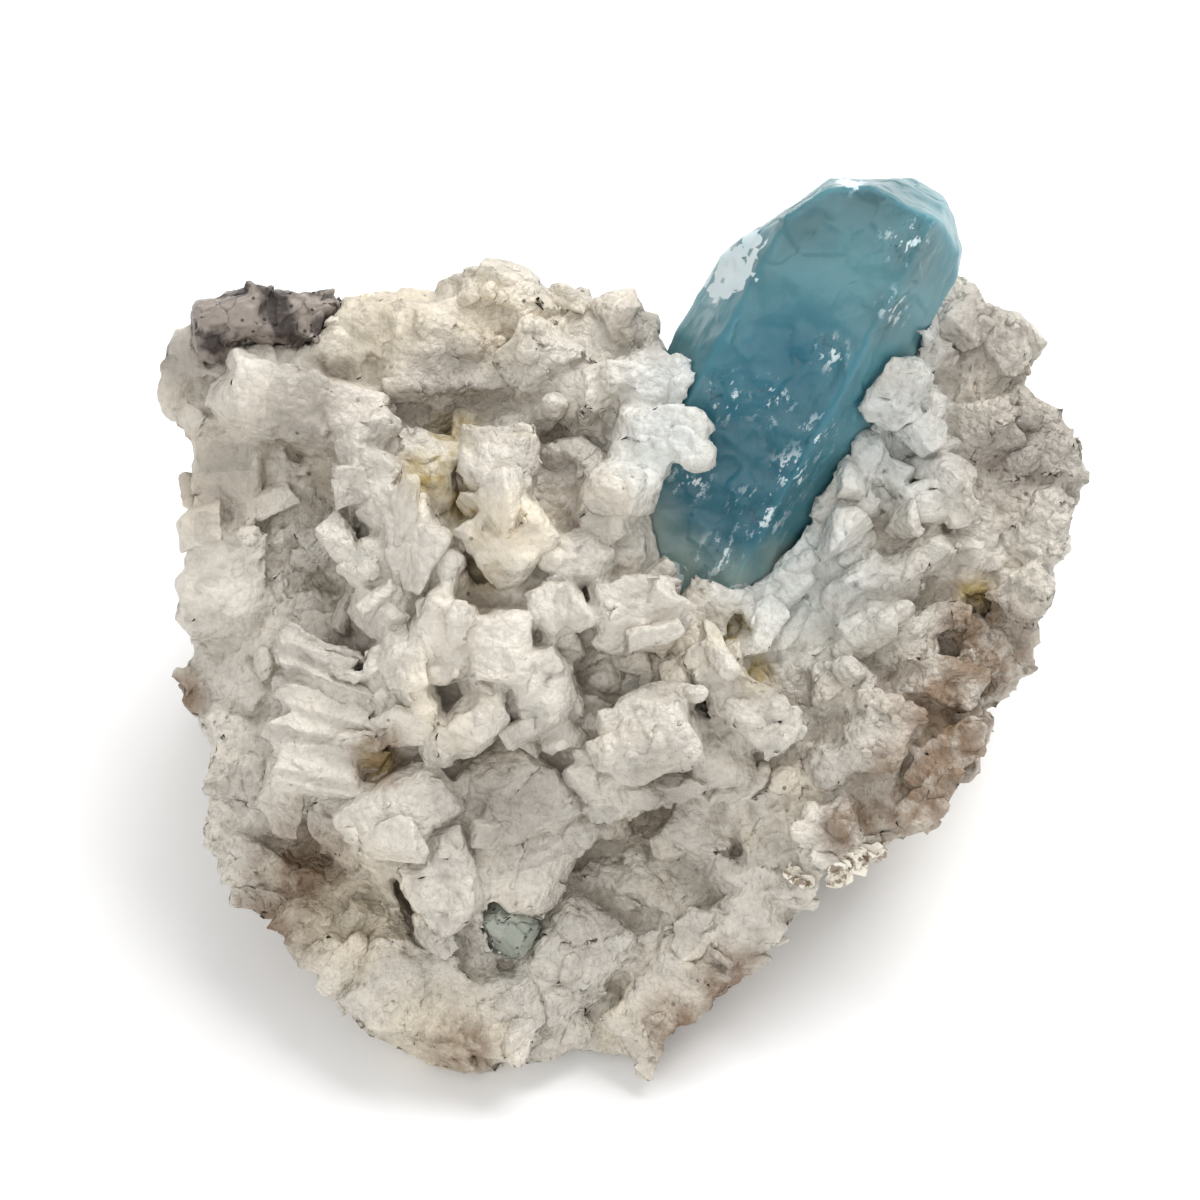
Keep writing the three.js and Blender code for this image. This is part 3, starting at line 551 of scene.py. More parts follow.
def hollow_field(points):
    """Gives, for points and normals, how far each lies in a hollow, from 0 to 1."""
    cell = HOLLOW_CELL * MM
    low = points.min(0) - 4 * cell
    shape = np.ceil((points.max(0) + 4 * cell - low) / cell).astype(int) + 1
    index = ((points - low) / cell).astype(int)
    total = np.zeros((*shape, 4), dtype=np.float32)
    np.add.at(total, tuple(index.T), np.c_[points, np.ones(len(points))])
    for axis in range(3):
        for _ in range(2):
            total = total + np.roll(total, 1, axis) + np.roll(total, -1, axis)

    def depth(at, normals):
        where = np.clip(((at - low) / cell).astype(int), 0, shape - 1)
        near = total[tuple(where.T)]
        mean = near[:, :3] / np.maximum(near[:, 3:], 1)
        return np.clip(((mean - at) * normals).sum(1) / (HOLLOW_DEPTH * MM), 0, 1)

    return depth


def mark_hollows(mesh, depth):
    normals = np.empty(len(mesh.vertices) * 3, dtype=np.float32)
    mesh.vertices.foreach_get("normal", normals)
    mark(mesh, "hollow", depth(coordinates(mesh), normals.reshape(-1, 3)))


# Settings that many nodes share
SMOOTH = {"interpolation_type": "SMOOTHSTEP"}
TIMES = {"operation": "MULTIPLY"}
LARGER = {"operation": "MAXIMUM"}
PLUS = {"operation": "ADD"}
COLOUR = {"data_type": "RGBA"}


def node(tree, kind, settings=None, out=0, **links):
    """Adds a shader node, its kind named without ShaderNode, with its settings, links or sets its
    inputs, and gives one output. An input is named by its name, with _ for a space, or by i and
    its number."""
    made = tree.nodes.new(f"ShaderNode{kind}")
    for key, value in (settings or {}).items():
        setattr(made, key, value)
    for key, value in links.items():
        numbered = key[0] == "i" and key[1:].isdigit()
        socket = made.inputs[int(key[1:])] if numbered else made.inputs[key.replace("_", " ")]
        if isinstance(value, bpy.types.NodeSocket):
            tree.links.new(value, socket)
        else:
            socket.default_value = value
    return made.outputs[out] if len(made.outputs) else made


def new_material(name):
    material = bpy.data.materials.new(name)
    material.use_nodes = True
    tree = material.node_tree
    tree.nodes.clear()
    return material, tree


def per_mm(size):
    """The scale of a pattern whose cells are this many millimetres."""
    return 1 / (size * MM)


def rgba(value):
    return (*value, 1)


# Places on the face, u, v and radius in mm: rusty film
IRON_SPOTS = [
    (-16.5, 12.8, 3.4), (-14.5, 15.5, 3), (-13.6, 10, 2.6), (-11.4, 4.4, 2.2), (-12.4, 7, 1.8),
    (8.6, -0.4, 2.6), (10.6, -4.4, 2.4), (-21.2, -11.4, 2.2), (29.6, 2.6, 2.2),
]
# Tan, weathered crust
TAN_SPOTS = [
    (30.5, -3, 7), (27, -7, 7), (24, -14, 7), (19, -17, 4), (9, -31, 5), (-38, -6, 3),
    (-20.5, -11, 3.4),
    (-28, -21, 6), (-31, -27, 6), (-14, -36, 4), (4, -34, 4), (27, -11, 6), (30, 0, 5),
]
# Creamy feldspar
CREAM_SPOTS = [(-20, 26, 8), (-12, 26, 6), (-9, 8, 4.4), (-35, 12, 6), (-16, -36, 8), (-24, -24, 8)]
# Greyer, glassy feldspar. The two spots under the central cluster, at (-10, -15) and
# (-9.4, -14.6), are painted shadow on the face that the cluster shades
GREY_AND_SHADE_SPOTS = [
    (33, 15, 10), (30, 24, 6), (-16, 20, 6), (2, 25, 4), (-10, -15, 6), (-38, 22, 4), (-6, 13, 4),
    (-27, 18, 7), (-34, 12, 6), (-9.4, -14.6, 5), (3, -15, 4),
]
# Cold white feldspar by the aquamarine
COOL_SPOTS = [(4, 20, 6), (3, 15, 6), (22, 16, 9), (24, 25, 6), (15, 4, 9)]
# Dark specks of other minerals
ALBITE_SPECKS = "#3f3931"


def albite_material(colours):
    """Albite feldspar, grown in blocky crystals and split along its cleavages. Each crystal is a
    little lighter or darker, waxy, and dirt, rust and painted shade lie in the gaps."""
    material, tree = new_material("albite_feldspar")
    where = node(tree, "TexCoord", out="Object")
    read = {
        name: node(tree, "Attribute", {"attribute_name": name}, out="Fac")
        for name in ("hollow", "rough", "iron", "tan", "cream", "grey_and_shade", "cool")
    }
    wander = node(tree, "TexNoise", Vector=where, Scale=per_mm(9), Detail=4.0)
    patchy = node(tree, "TexNoise", Vector=where, Scale=per_mm(2.6), Detail=4.0, Roughness=0.6)
    fine = node(tree, "TexNoise", Vector=where, Scale=per_mm(0.9), Detail=3.0, Roughness=0.7)

    drift = node(tree, "MapRange", SMOOTH, Value=wander, From_Min=0.5, From_Max=0.75, To_Max=0.7)
    cream = node(tree, "Math", LARGER, i0=read["cream"], i1=drift)
    base = node(
        tree, "Mix", COLOUR, i0=cream, i6=rgba(colours.albite_white), i7=rgba(colours.albite_cream),
        out=2,
    )
    base = node(tree, "Mix", COLOUR, i0=read["cool"], i6=base, i7=rgba(colours.albite_cool), out=2)
    greying = node(tree, "MapRange", SMOOTH, Value=patchy, From_Min=0.48, From_Max=0.7, To_Max=0.4)
    # Painted shadow comes in here with the grey spots under the central cluster
    greyer_and_shaded = node(tree, "Math", TIMES, i0=read["grey_and_shade"], i1=0.85)
    greying = node(tree, "Math", LARGER, i0=greying, i1=greyer_and_shaded)
    base = node(tree, "Mix", COLOUR, i0=greying, i6=base, i7=rgba(colours.albite_grey_and_shade), out=2)

    grains = node(tree, "TexVoronoi", Vector=where, Scale=per_mm(4.2), out="Color")
    lighter = node(
        tree, "MapRange", Value=grains, From_Min=0.2, From_Max=0.8, To_Min=0.9, To_Max=1.14,
    )
    mottled = node(
        tree, "MapRange", Value=fine, From_Min=0.3, From_Max=0.7, To_Min=0.9, To_Max=1.08,
    )
    value = node(tree, "Math", TIMES, i0=lighter, i1=mottled)
    base = node(tree, "HueSaturation", Value=value, Color=base)

    broken = node(
        tree, "MapRange", SMOOTH, Value=patchy, From_Min=0.34, From_Max=0.56, To_Min=0.4,
        To_Max=1.0,
    )
    tan = node(tree, "Math", TIMES, i0=read["tan"], i1=broken)
    base = node(tree, "Mix", COLOUR, i0=tan, i6=base, i7=rgba(colours.tan_crust), out=2)
    sunk = node(tree, "MapRange", Value=read["hollow"], From_Max=0.5, To_Min=0.25, To_Max=1.0)
    iron = node(tree, "Math", TIMES, i0=read["iron"], i1=sunk)
    iron = node(tree, "Math", TIMES, i0=iron, i1=broken)
    base = node(tree, "Mix", COLOUR, i0=iron, i6=base, i7=rgba(colours.iron_stain), out=2)
    # Painted shade: the hollows are darkened in the dust colour, as dirt and as the shade that
    # falls in them
    dusty_and_shaded = node(
        tree, "MapRange", SMOOTH, Value=read["hollow"], From_Min=0.12, From_Max=0.9, To_Max=0.55,
    )
    clear_of_dust_and_shade = node(
        tree, "Math", {"operation": "SUBTRACT", "use_clamp": True}, i0=1.0, i1=read["cool"],
    )
    dusty_and_shaded = node(tree, "Math", TIMES, i0=dusty_and_shaded, i1=clear_of_dust_and_shade)
    base = node(tree, "Mix", COLOUR, i0=dusty_and_shaded, i6=base, i7=rgba(colours.dust_and_shade), out=2)

    cells = node(tree, "TexVoronoi", Vector=where, Scale=per_mm(2.4))
    speck = node(
        tree, "MapRange", SMOOTH, Value=cells, From_Min=0.05, From_Max=0.11, To_Min=1.0, To_Max=0.0,
    )
    some = node(tree, "MapRange", SMOOTH, Value=wander, From_Min=0.5, From_Max=0.6, To_Max=0.75)
    speck = node(tree, "Math", TIMES, i0=speck, i1=some)
    base = node(tree, "Mix", COLOUR, i0=speck, i6=base, i7=rgba(linear(ALBITE_SPECKS)), out=2)

    grain = node(tree, "TexNoise", Vector=where, Scale=per_mm(0.5), Detail=2.0, Roughness=0.6)
    relief = node(tree, "MapRange", Value=read["rough"], To_Min=0.25, To_Max=1.0)
    height = node(tree, "Math", TIMES, i0=grain, i1=relief)
    up_the_face = node(
        tree, "Mapping", {"vector_type": "TEXTURE"}, Vector=where, Rotation=(FACE_LEAN, 0, 0),
        Scale=(1, 7, 1),
    )
    streaks = node(tree, "TexNoise", Vector=up_the_face, Scale=per_mm(0.9), Detail=2.0)
    smooth = node(
        tree, "MapRange", Value=read["rough"], From_Min=0.2, From_Max=0.5, To_Min=0.5, To_Max=0.0,
    )
    streaks = node(tree, "Math", TIMES, i0=streaks, i1=smooth)
    height = node(tree, "Math", PLUS, i0=height, i1=streaks)
    sugar = node(tree, "TexVoronoi", Vector=where, Scale=per_mm(0.75))
    sugar = node(tree, "Math", TIMES, i0=sugar, i1=relief)
    height = node(tree, "Math", {"operation": "SUBTRACT"}, i0=height, i1=sugar)
    bump = node(tree, "Bump", Strength=0.9, Distance=0.42 * MM, Height=height)
    gloss = node(
        tree, "MapRange", Value=patchy, From_Min=0.35, From_Max=0.65, To_Min=0.36, To_Max=0.6,
    )
    shader = node(
        tree, "BsdfPrincipled",
        Base_Color=base, Roughness=gloss, IOR=1.53, Normal=bump,
    )
    node(tree, "OutputMaterial", Surface=shader)
    return material


# Places on the aquamarine, u, v and radius in mm: etched and chipped white. The spot at
# (3.4, 3.8) by the foot is painted light over the shade there
FROST_AND_LIGHT_SPOTS = [
    (8.8, 29.8, 2.8), (7.4, 28, 1.6), (10.4, 31.8, 1.6), (18.4, 36.7, 1.8), (3.4, 3.8, 2),
    (9.4, 2.4, 1.4),
]
# The deepest blue
CORE_SPOTS = [(8, 10, 11), (10.4, 15, 11), (12.6, 20, 10)]
# Paler, greener beryl at the foot, also painted light that lifts the shade there
PALE_AND_LIT_SPOTS = [(4, 4.6, 4.8), (8.4, 3, 4.2), (1.6, 8, 4), (13, 5, 3)]
# Duller, greyer beryl round the tip
DULL_SPOTS = [(20, 36, 6), (14, 33.4, 5), (9.4, 30.4, 4), (23.6, 30, 3.6), (21.4, 25, 3)]
# Painted glints along the fine cracks; the dark cracks show in the same spots
CRACK_GLINT_SPOTS = [
    (8, 19, 2.6), (11.8, 18.4, 2.6), (15.6, 15.6, 2.4), (11, 9.4, 3.2), (22.6, 31.4, 2.8),
    (21.8, 26, 2), (7.6, 5.6, 2.6),
    (13.8, 12.6, 2.6), (5.2, 12, 2.4), (16.6, 22.4, 2), (18.6, 37, 2.6),
]
# Beryl where it is pale and painted lighter, where it is dull, in its cracks, and what a depth
# of it lets through
BERYL_PALE_AND_LIT = "#a9bfb6"
BERYL_DULL = "#567b80"
BERYL_CRACKS = "#2b5560"
BERYL_DEPTH = "#6cc3d2"
# The way the prism grows on the face, along which its cracks run
PRISM_AXIS = (0.47, 0.83, 0.3)


def aquamarine_material(colours):
    """Beryl, grown as a six-sided prism. It is milky blue with a deeper core, glassy where its
    faces are whole, white where it is etched or chipped, with painted glints along fine cracks and
    painted light over the shade at its foot."""
    material, tree = new_material("aquamarine_beryl")
    where = node(tree, "TexCoord", out="Object")
    read = {
        name: node(tree, "Attribute", {"attribute_name": name}, out="Fac")
        for name in ("frost_and_painted_light", "core", "pale_and_lit", "dull", "crack_glint")
    }
    etched = node(tree, "TexVoronoi", Vector=where, Scale=per_mm(1.1), out="Color")
    frost_and_painted_light = node(tree, "Math", PLUS, i0=read["frost_and_painted_light"], i1=etched)
    frost_and_painted_light = node(tree, "MapRange", SMOOTH, Value=frost_and_painted_light, From_Min=0.98, From_Max=1.04, To_Max=0.85)
    axis = FACE_TURN @ Vector(PRISM_AXIS)
    along = node(
        tree, "Mapping", {"vector_type": "TEXTURE"}, Vector=where,
        Rotation=tuple(axis.to_track_quat("Z", "Y").to_euler()), Scale=(1, 1, 2),
    )
    cracks = node(tree, "TexNoise", Vector=along, Scale=per_mm(0.8), Detail=4.0, Roughness=0.75)
    # Painted glints: white along the fine cracks in the glint spots
    crack_glint = node(tree, "MapRange", SMOOTH, Value=cracks, From_Min=0.55, From_Max=0.6)
    crack_glint = node(tree, "Math", TIMES, i0=crack_glint, i1=read["crack_glint"])
    dark = node(
        tree, "MapRange", SMOOTH, Value=cracks, From_Min=0.36, From_Max=0.42, To_Min=0.7,
        To_Max=0.0,
    )
    dark = node(tree, "Math", TIMES, i0=dark, i1=read["crack_glint"])
    # Etched frost, with painted light at the foot and painted glints, all in the frost white
    white = node(tree, "Math", LARGER, i0=frost_and_painted_light, i1=crack_glint)

    cloud = node(tree, "TexNoise", Vector=where, Scale=per_mm(6), Detail=3.0)
    cloud = node(tree, "MapRange", Value=cloud, From_Min=0.3, From_Max=0.7, To_Min=0.75, To_Max=1.0)
    core = node(tree, "Math", TIMES, i0=read["core"], i1=cloud)
    base = node(
        tree, "Mix", COLOUR, i0=core, i6=rgba(colours.beryl_rim), i7=rgba(colours.beryl_core),
        out=2,
    )
    # Painted light: the pale foot is lifted over the shade there
    pale_and_lit = node(tree, "Math", TIMES, i0=read["pale_and_lit"], i1=0.8)
    base = node(tree, "Mix", COLOUR, i0=pale_and_lit, i6=base, i7=rgba(linear(BERYL_PALE_AND_LIT)), out=2)
    dull = node(tree, "Math", TIMES, i0=read["dull"], i1=0.7)
    base = node(tree, "Mix", COLOUR, i0=dull, i6=base, i7=rgba(linear(BERYL_DULL)), out=2)
    base = node(tree, "Mix", COLOUR, i0=dark, i6=base, i7=rgba(linear(BERYL_CRACKS)), out=2)
    base = node(tree, "Mix", COLOUR, i0=white, i6=base, i7=rgba(colours.frost_and_painted_light), out=2)
    gloss = node(tree, "MapRange", Value=white, To_Min=0.28, To_Max=0.6)
    clear = node(tree, "MapRange", Value=white, To_Min=0.4, To_Max=0.1)
    ripple = node(tree, "TexNoise", Vector=along, Scale=per_mm(1.1), Detail=4.0, Roughness=0.6)
    bump = node(tree, "Bump", Strength=0.4, Distance=0.22 * MM, Height=ripple)
    shader = node(
        tree, "BsdfPrincipled", {"subsurface_method": "RANDOM_WALK"},
        Base_Color=base, Roughness=gloss, IOR=1.58, Specular_IOR_Level=0.2, Normal=bump,
        Transmission_Weight=clear,
        Subsurface_Weight=1.0, Subsurface_Radius=(0.5, 1.0, 1.2), Subsurface_Scale=2.5 * MM,
    )
    depth = node(tree, "VolumeAbsorption", Color=rgba(linear(BERYL_DEPTH)), Density=70.0)
    node(tree, "OutputMaterial", Surface=shader, Volume=depth)
    return material


# Quartz where it is smoky, where it is green and painted lighter against the shade of its
# hollow, and its specks
QUARTZ_SMOKE = "#4a413d"
QUARTZ_GREEN_AND_LIT = "#b4bbae"
QUARTZ_SPECKS = "#2b2624"


def quartz_material(colours):
    """Smoky quartz in broken grains: grey and glassy, darker in patches, with black specks. The
    bare grain in the foot is paler and greener, and painted lighter against the shade of its
    hollow."""
    material, tree = new_material("smoky_quartz_grains")
    where = node(tree, "TexCoord", out="Object")
    smoke = node(tree, "TexNoise", Vector=where, Scale=per_mm(3), Detail=4.0)
    smoke = node(tree, "MapRange", SMOOTH, Value=smoke, From_Min=0.46, From_Max=0.6)
    base = node(
        tree, "Mix", COLOUR, i0=smoke, i6=rgba(colours.quartz), i7=rgba(linear(QUARTZ_SMOKE)),
        out=2,
    )
    # Painted light: the grain in the foot's hollow is painted paler against the shade there
    green_and_lit = node(tree, "Attribute", {"attribute_name": "green_and_lit"}, out="Fac")
    base = node(tree, "Mix", COLOUR, i0=green_and_lit, i6=base, i7=rgba(linear(QUARTZ_GREEN_AND_LIT)), out=2)
    cells = node(tree, "TexVoronoi", Vector=where, Scale=per_mm(1.1))
    speck = node(
        tree, "MapRange", SMOOTH, Value=cells, From_Min=0.1, From_Max=0.2, To_Min=0.9, To_Max=0.0,
    )
    base = node(tree, "Mix", COLOUR, i0=speck, i6=base, i7=rgba(linear(QUARTZ_SPECKS)), out=2)
    ripple = node(tree, "TexNoise", Vector=where, Scale=per_mm(0.7), Detail=4.0)
    bump = node(tree, "Bump", Strength=0.5, Distance=0.2 * MM, Height=ripple)
    shader = node(
        tree, "BsdfPrincipled",
        Base_Color=base, Roughness=0.35, IOR=1.55, Specular_IOR_Level=0.25, Normal=bump,
        Transmission_Weight=0.2,
    )
    node(tree, "OutputMaterial", Surface=shader)
    return material


# The stain between the mica's plates
MICA_BROWN = "#77603f"


def mica_material(colours):
    """Muscovite mica, split into thin plates: pearly and bright, browner in patches."""
    material, tree = new_material("muscovite_mica")
    where = node(tree, "TexCoord", out="Object")
    brown = node(tree, "TexNoise", Vector=where, Scale=per_mm(0.9), Detail=4.0)
    brown = node(tree, "MapRange", SMOOTH, Value=brown, From_Min=0.48, From_Max=0.6, To_Max=0.9)
    base = node(
        tree, "Mix", COLOUR, i0=brown, i6=rgba(colours.mica), i7=rgba(linear(MICA_BROWN)), out=2,
    )
    ripple = node(tree, "TexNoise", Vector=where, Scale=per_mm(0.5), Detail=3.0)
    bump = node(tree, "Bump", Strength=0.4, Distance=0.1 * MM, Height=ripple)
    shader = node(
        tree, "BsdfPrincipled",
        Base_Color=base, Roughness=0.2, IOR=1.58, Normal=bump, Coat_Weight=0.6, Coat_Roughness=0.08,
    )
    node(tree, "OutputMaterial", Surface=shader)
    return material


def material_named(name, maker):
    """The material of that name, made if it isn't there yet."""
    return bpy.data.materials.get(name) or maker(bpy.context.scene.specimen_colours)


def mark_albite(mesh):
    """What the albite's material reads on a piece."""
    for name, spots in (
        ("iron", IRON_SPOTS), ("tan", TAN_SPOTS), ("cream", CREAM_SPOTS), ("grey_and_shade", GREY_AND_SHADE_SPOTS),
        ("cool", COOL_SPOTS),
    ):
        mark_spots(mesh, name, spots)
    mark(mesh, "rough", roughness_at(coordinates(mesh)))
    mark_hollows(mesh, hollow_field(coordinates(bpy.data.objects["albite_stone"].data)))


def finish_albite(piece):
    """The last steps for a piece of albite."""
    kept_in_box(piece.data)
    mark_albite(piece.data)
    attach(piece, "root")


# What breaks up the albite: the pattern, its cell size in mm, how far it moves the surface in mm,
# and whether that goes by how rough the place is
WEATHERING = (
    ("WARP", 5, 2.2, False),
    ("STEPS", 2.8, 0.55, False),
    ("STEPS", 1.2, 0.4, True),
    ("CELLS", 3.6, 0.8, True),
    ("CELLS", 1.3, 0.4, True),
    ("CLOUDS", 0.7, 0.25, True),
)
# The crystals are broken up by this share of it
CRYSTAL_WEATHERING = 0.4
# How often the stone and the crystals are smoothed
STONE_SOFTENING = 5
CRYSTAL_SOFTENING = 2
# How the aquamarine and the quartz are worn: how often they are smoothed, and the patterns with
# their cell size and movement in mm
BERYL_SOFTENING = 12
BERYL_WEAR = (("CLOUDS", 5, 0.8), ("STEPS", 2.6, 0.12))
QUARTZ_SOFTENING = 2
QUARTZ_WEAR = (("STEPS", 1.8, 0.8), ("CLOUDS", 0.6, 0.3))
# How green the bare grain in the foot is, and how much it is painted lighter against the shade
# there
GRAIN_GREEN_AND_LIT = 0.8


def uneven(piece, kind, size, strength):
    """Makes a piece's surface uneven. WARP bends it and STEPS breaks it in cells that are each
    shifted a little, CELLS bulges in cells and CLOUDS is soft. Size and strength are in mm."""
    pattern = bpy.data.textures.new(
        f"{piece.name}_{kind}", "VORONOI" if kind in ("STEPS", "CELLS") else "CLOUDS",
    )
    pattern.noise_scale = size * MM
    modifier = piece.modifiers.new(kind, "DISPLACE")
    modifier.texture = pattern
    modifier.texture_coords = "LOCAL"
    modifier.strength = strength * MM
    modifier.mid_level = 0.5
    if kind == "WARP":
        pattern.cloud_type = "COLOR"
    if kind == "STEPS":
        pattern.color_mode = "POSITION"
    if kind == "CELLS":
        pattern.weight_1 = -1
        pattern.weight_2 = 1
        modifier.mid_level = 0.2
    if kind in ("WARP", "STEPS"):
        modifier.direction = "RGB_TO_XYZ"
    return modifier


def weathered(piece, share):
    """Breaks up the surface of a piece of albite."""
    # The group holds how rough each point is, in tenths, and smooth places keep a quarter
    steps = np.rint(10 * (0.25 + 0.75 * roughness_at(coordinates(piece.data)))).astype(int)
    group = piece.vertex_groups.new(name="rough")
    for step in range(1, 11):
        group.add(np.flatnonzero(steps == step).tolist(), step / 10, "REPLACE")
    for kind, size, strength, by_place in WEATHERING:
        modifier = uneven(piece, kind, size, strength * share)
        if by_place:
            modifier.vertex_group = "rough"
    applied(piece)
    piece.vertex_groups.clear()


def fused(bm, name, material, voxel, softer, patterns):
    """A piece with a solid's shape, remade in cells of the size voxel, smoothed softer times, and
    made uneven by patterns of a size and strength in mm."""
    piece = object_of(name, to_mesh(bm, name), material)
    fuse = piece.modifiers.new("fuse", "REMESH")
    fuse.mode = "VOXEL"
    fuse.voxel_size = voxel
    fuse.use_smooth_shade = True
    soften = piece.modifiers.new("soften", "SMOOTH")
    soften.factor = 0.5
    soften.iterations = softer
    for kind, size, strength in patterns:
        uneven(piece, kind, size, strength)
    return applied(piece)


def thinned(piece, triangles):
    """The piece with at most about that many triangles."""
    fewer = piece.modifiers.new("fewer", "DECIMATE")
    fewer.ratio = min(1, triangles / (2 * len(piece.data.polygons)))
    return applied(piece)


class SPECIMEN_OT_albite_stone(Operator):
    """Remake the albite's solid as broken, weathered stone"""

    bl_idname = "specimen.albite_stone"
    bl_label = "Albite stone"

    def execute(self, context):
        sizes = context.scene.specimen_sizes
        material = material_named("albite_feldspar", albite_material)
        voxel = sizes.voxel * 1
        bm = merged_copy("albite_matrix")
        stone = fused(bm, "albite_stone", material, voxel, STONE_SOFTENING, ())
        weathered(stone, 1)
        thinned(stone, sizes.stone_triangles)
        finish_albite(stone)
        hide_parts("albite_matrix")
        return {"FINISHED"}


class SPECIMEN_OT_albite_crystals(Operator):
    """Set the albite's crystals on the stone"""

    bl_idname = "specimen.albite_crystals"
    bl_label = "Albite crystals"

    def execute(self, context):
        sizes = context.scene.specimen_sizes
        rng = random.Random(11)
        forms = {habit: forms_of(habit, FORMS_OF_EACH, rng) for habit in FORMS}
        solid = surface_of(bpy.data.objects["albite_stone"])
        material = material_named("albite_feldspar", albite_material)
        crystals = grow(solid, "big", sizes.big_spacing, BIG_AROUND, forms, rng)
        crystals += grow(solid, "small", sizes.small_spacing, SMALL_AROUND, forms, rng)
        crystals += [("face", rng.choice(forms["chip"]), place) for place in fan_plates()]
        for u, v, w, size in PIT_GRAINS:
            seat = on_face(u, v, w), FACE_TURN @ Vector(PIT_OUT), (size, size, size)
            place = lay(*seat, PIT_TURN, PIT_TILT, HALF_OUT)
            crystals.append(("face", rng.choice(forms["lump"]), place))
        for side in ("face", "back"):
            bm = bmesh.new()
            for where, form, place in crystals:
                if where == side:
                    add_crystal(bm, form, place)
            name = f"albite_crystals_{side}"
            piece = fused(bm, name, material, sizes.crystal_voxel, CRYSTAL_SOFTENING, ())
            weathered(piece, CRYSTAL_WEATHERING)
            thinned(piece, sizes.stone_triangles)
            finish_albite(piece)
        return {"FINISHED"}


class SPECIMEN_OT_aquamarine(Operator):
    """Wear the aquamarine's faces and edges"""

    bl_idname = "specimen.aquamarine"
    bl_label = "Aquamarine"

    def execute(self, context):
        sizes = context.scene.specimen_sizes
        material = material_named("aquamarine_beryl", aquamarine_material)
        bm = merged_copy("aquamarine_crystal")
        crystal = fused(
            bm, "aquamarine_prism", material, sizes.worn_beryl, BERYL_SOFTENING, BERYL_WEAR,
        )
        kept_in_box(crystal.data)
        for name, spots in (
            ("frost_and_painted_light", FROST_AND_LIGHT_SPOTS), ("core", CORE_SPOTS), ("pale_and_lit", PALE_AND_LIT_SPOTS),
            ("dull", DULL_SPOTS), ("crack_glint", CRACK_GLINT_SPOTS),
        ):
            mark_spots(crystal.data, name, spots)
        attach(crystal, "root")
        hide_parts("aquamarine_crystal")
        return {"FINISHED"}


class SPECIMEN_OT_smoky_quartz(Operator):
    """Break up the smoky quartz grains"""

    bl_idname = "specimen.smoky_quartz"
    bl_label = "Smoky quartz"

    def execute(self, context):
        sizes = context.scene.specimen_sizes
        material = material_named("smoky_quartz_grains", quartz_material)
        for node_name, name in (
            ("smoky_quartz_crown", "smoky_quartz_cluster"),
            ("smoky_quartz_foot", "smoky_quartz_grain"),
        ):
            bm = merged_copy(node_name)
            piece = fused(bm, name, material, sizes.worn_quartz, QUARTZ_SOFTENING, QUARTZ_WEAR)
            mark(
                piece.data, "green_and_lit",
                np.full(len(piece.data.vertices), name == "smoky_quartz_grain") * GRAIN_GREEN_AND_LIT,
            )
            kept_in_box(piece.data)
            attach(piece, "root")
            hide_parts(node_name)
        return {"FINISHED"}


# The mica books: the CAD node, the piece that stands for it, how many flakes it has, their width
# in mm, and the ends, u, v, w in mm, of the line that they lie along on the face
MICA_BOOKS = (
    ("mica_book_large", "mica_flakes_large", 26, 2.3, (17.4, -21.4, -0.6), (20.9, -18.9, -1.6)),
    ("mica_book_small", "mica_flakes_small", 9, 1.5, (13.6, -21.2, 0.1), (15.2, -21.7, -0.4)),
)
# A flake's thickness and how far its outline varies, as shares of its width
FLAKE_THICKNESS = 0.05
FLAKE_OUTLINE = (0.72, 1.15)
FLAKE_SIDES = 9


def flake_form(rng):
    """A thin, slightly bent flake with a ragged outline."""
    bm = bmesh.new()
    bmesh.ops.create_circle(bm, cap_ends=True, segments=FLAKE_SIDES, radius=0.5)
    for vert in bm.verts:
        vert.co *= rng.uniform(*FLAKE_OUTLINE)
        vert.co.z += rng.uniform(-0.04, 0.04)
    bmesh.ops.solidify(bm, geom=bm.faces[:], thickness=FLAKE_THICKNESS)
    bmesh.ops.recalc_face_normals(bm, faces=bm.faces)
    return bm


class SPECIMEN_OT_mica(Operator):
    """Split the mica books into thin flakes"""

    bl_idname = "specimen.mica"
    bl_label = "Mica"

    def execute(self, context):
        material = material_named("muscovite_mica", mica_material)
        for node_name, name, count, width, start, end in MICA_BOOKS:
            rng = random.Random(count)
            bm = bmesh.new()
            for i in range(count):
                form = to_mesh(flake_form(rng), f"flake_{i}")
                along = i / (count - 1)
                aside = Vector([rng.uniform(-0.5, 0.5) for _ in range(3)])
                where = Vector(start).lerp(Vector(end), along) + aside
                face = FACE_TURN @ Vector((rng.uniform(-0.9, 0.5), rng.uniform(-0.9, 0.3), 0.8))
                size = [width * rng.uniform(*part) for part in ((0.6, 1.1), (0.5, 0.9), (0.6, 1.1))]
                turn = rng.uniform(0, 6.3)
                add_crystal(bm, form, lay(on_face(*where), face, size, turn, 0, HALF_OUT))
            piece = object_of(name, to_mesh(bm, name), material)
            kept_in_box(piece.data)
            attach(piece, "root")
            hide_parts(node_name)
        return {"FINISHED"}


# The floor is matt white paper
PAPER = "#fbfbfb"
# How far the paper reaches each way from the middle, in metres
PAPER_REACH = 2
ROOM_LIGHT = 0.68
# The lamps: name, place in metres, power in watts, width in metres
LAMPS = (
    ("key", (0.3, 0.42, 0.84), 8.9, 0.7),
    ("fill", (-0.2, -0.7, 0.6), 2, 0.6),
)
LAMPS_AIM = (0, 0, 0.03)
# The camera looks straight at the face, at this place on it in mm, and is as far away as its lens
# needs to show this width of it in mm. Lens and sensor are in mm too
CAMERA_AIM = (-2.33, 2.0, 4)
VIEW_WIDTH = 100
LENS = 105
SENSOR = 36


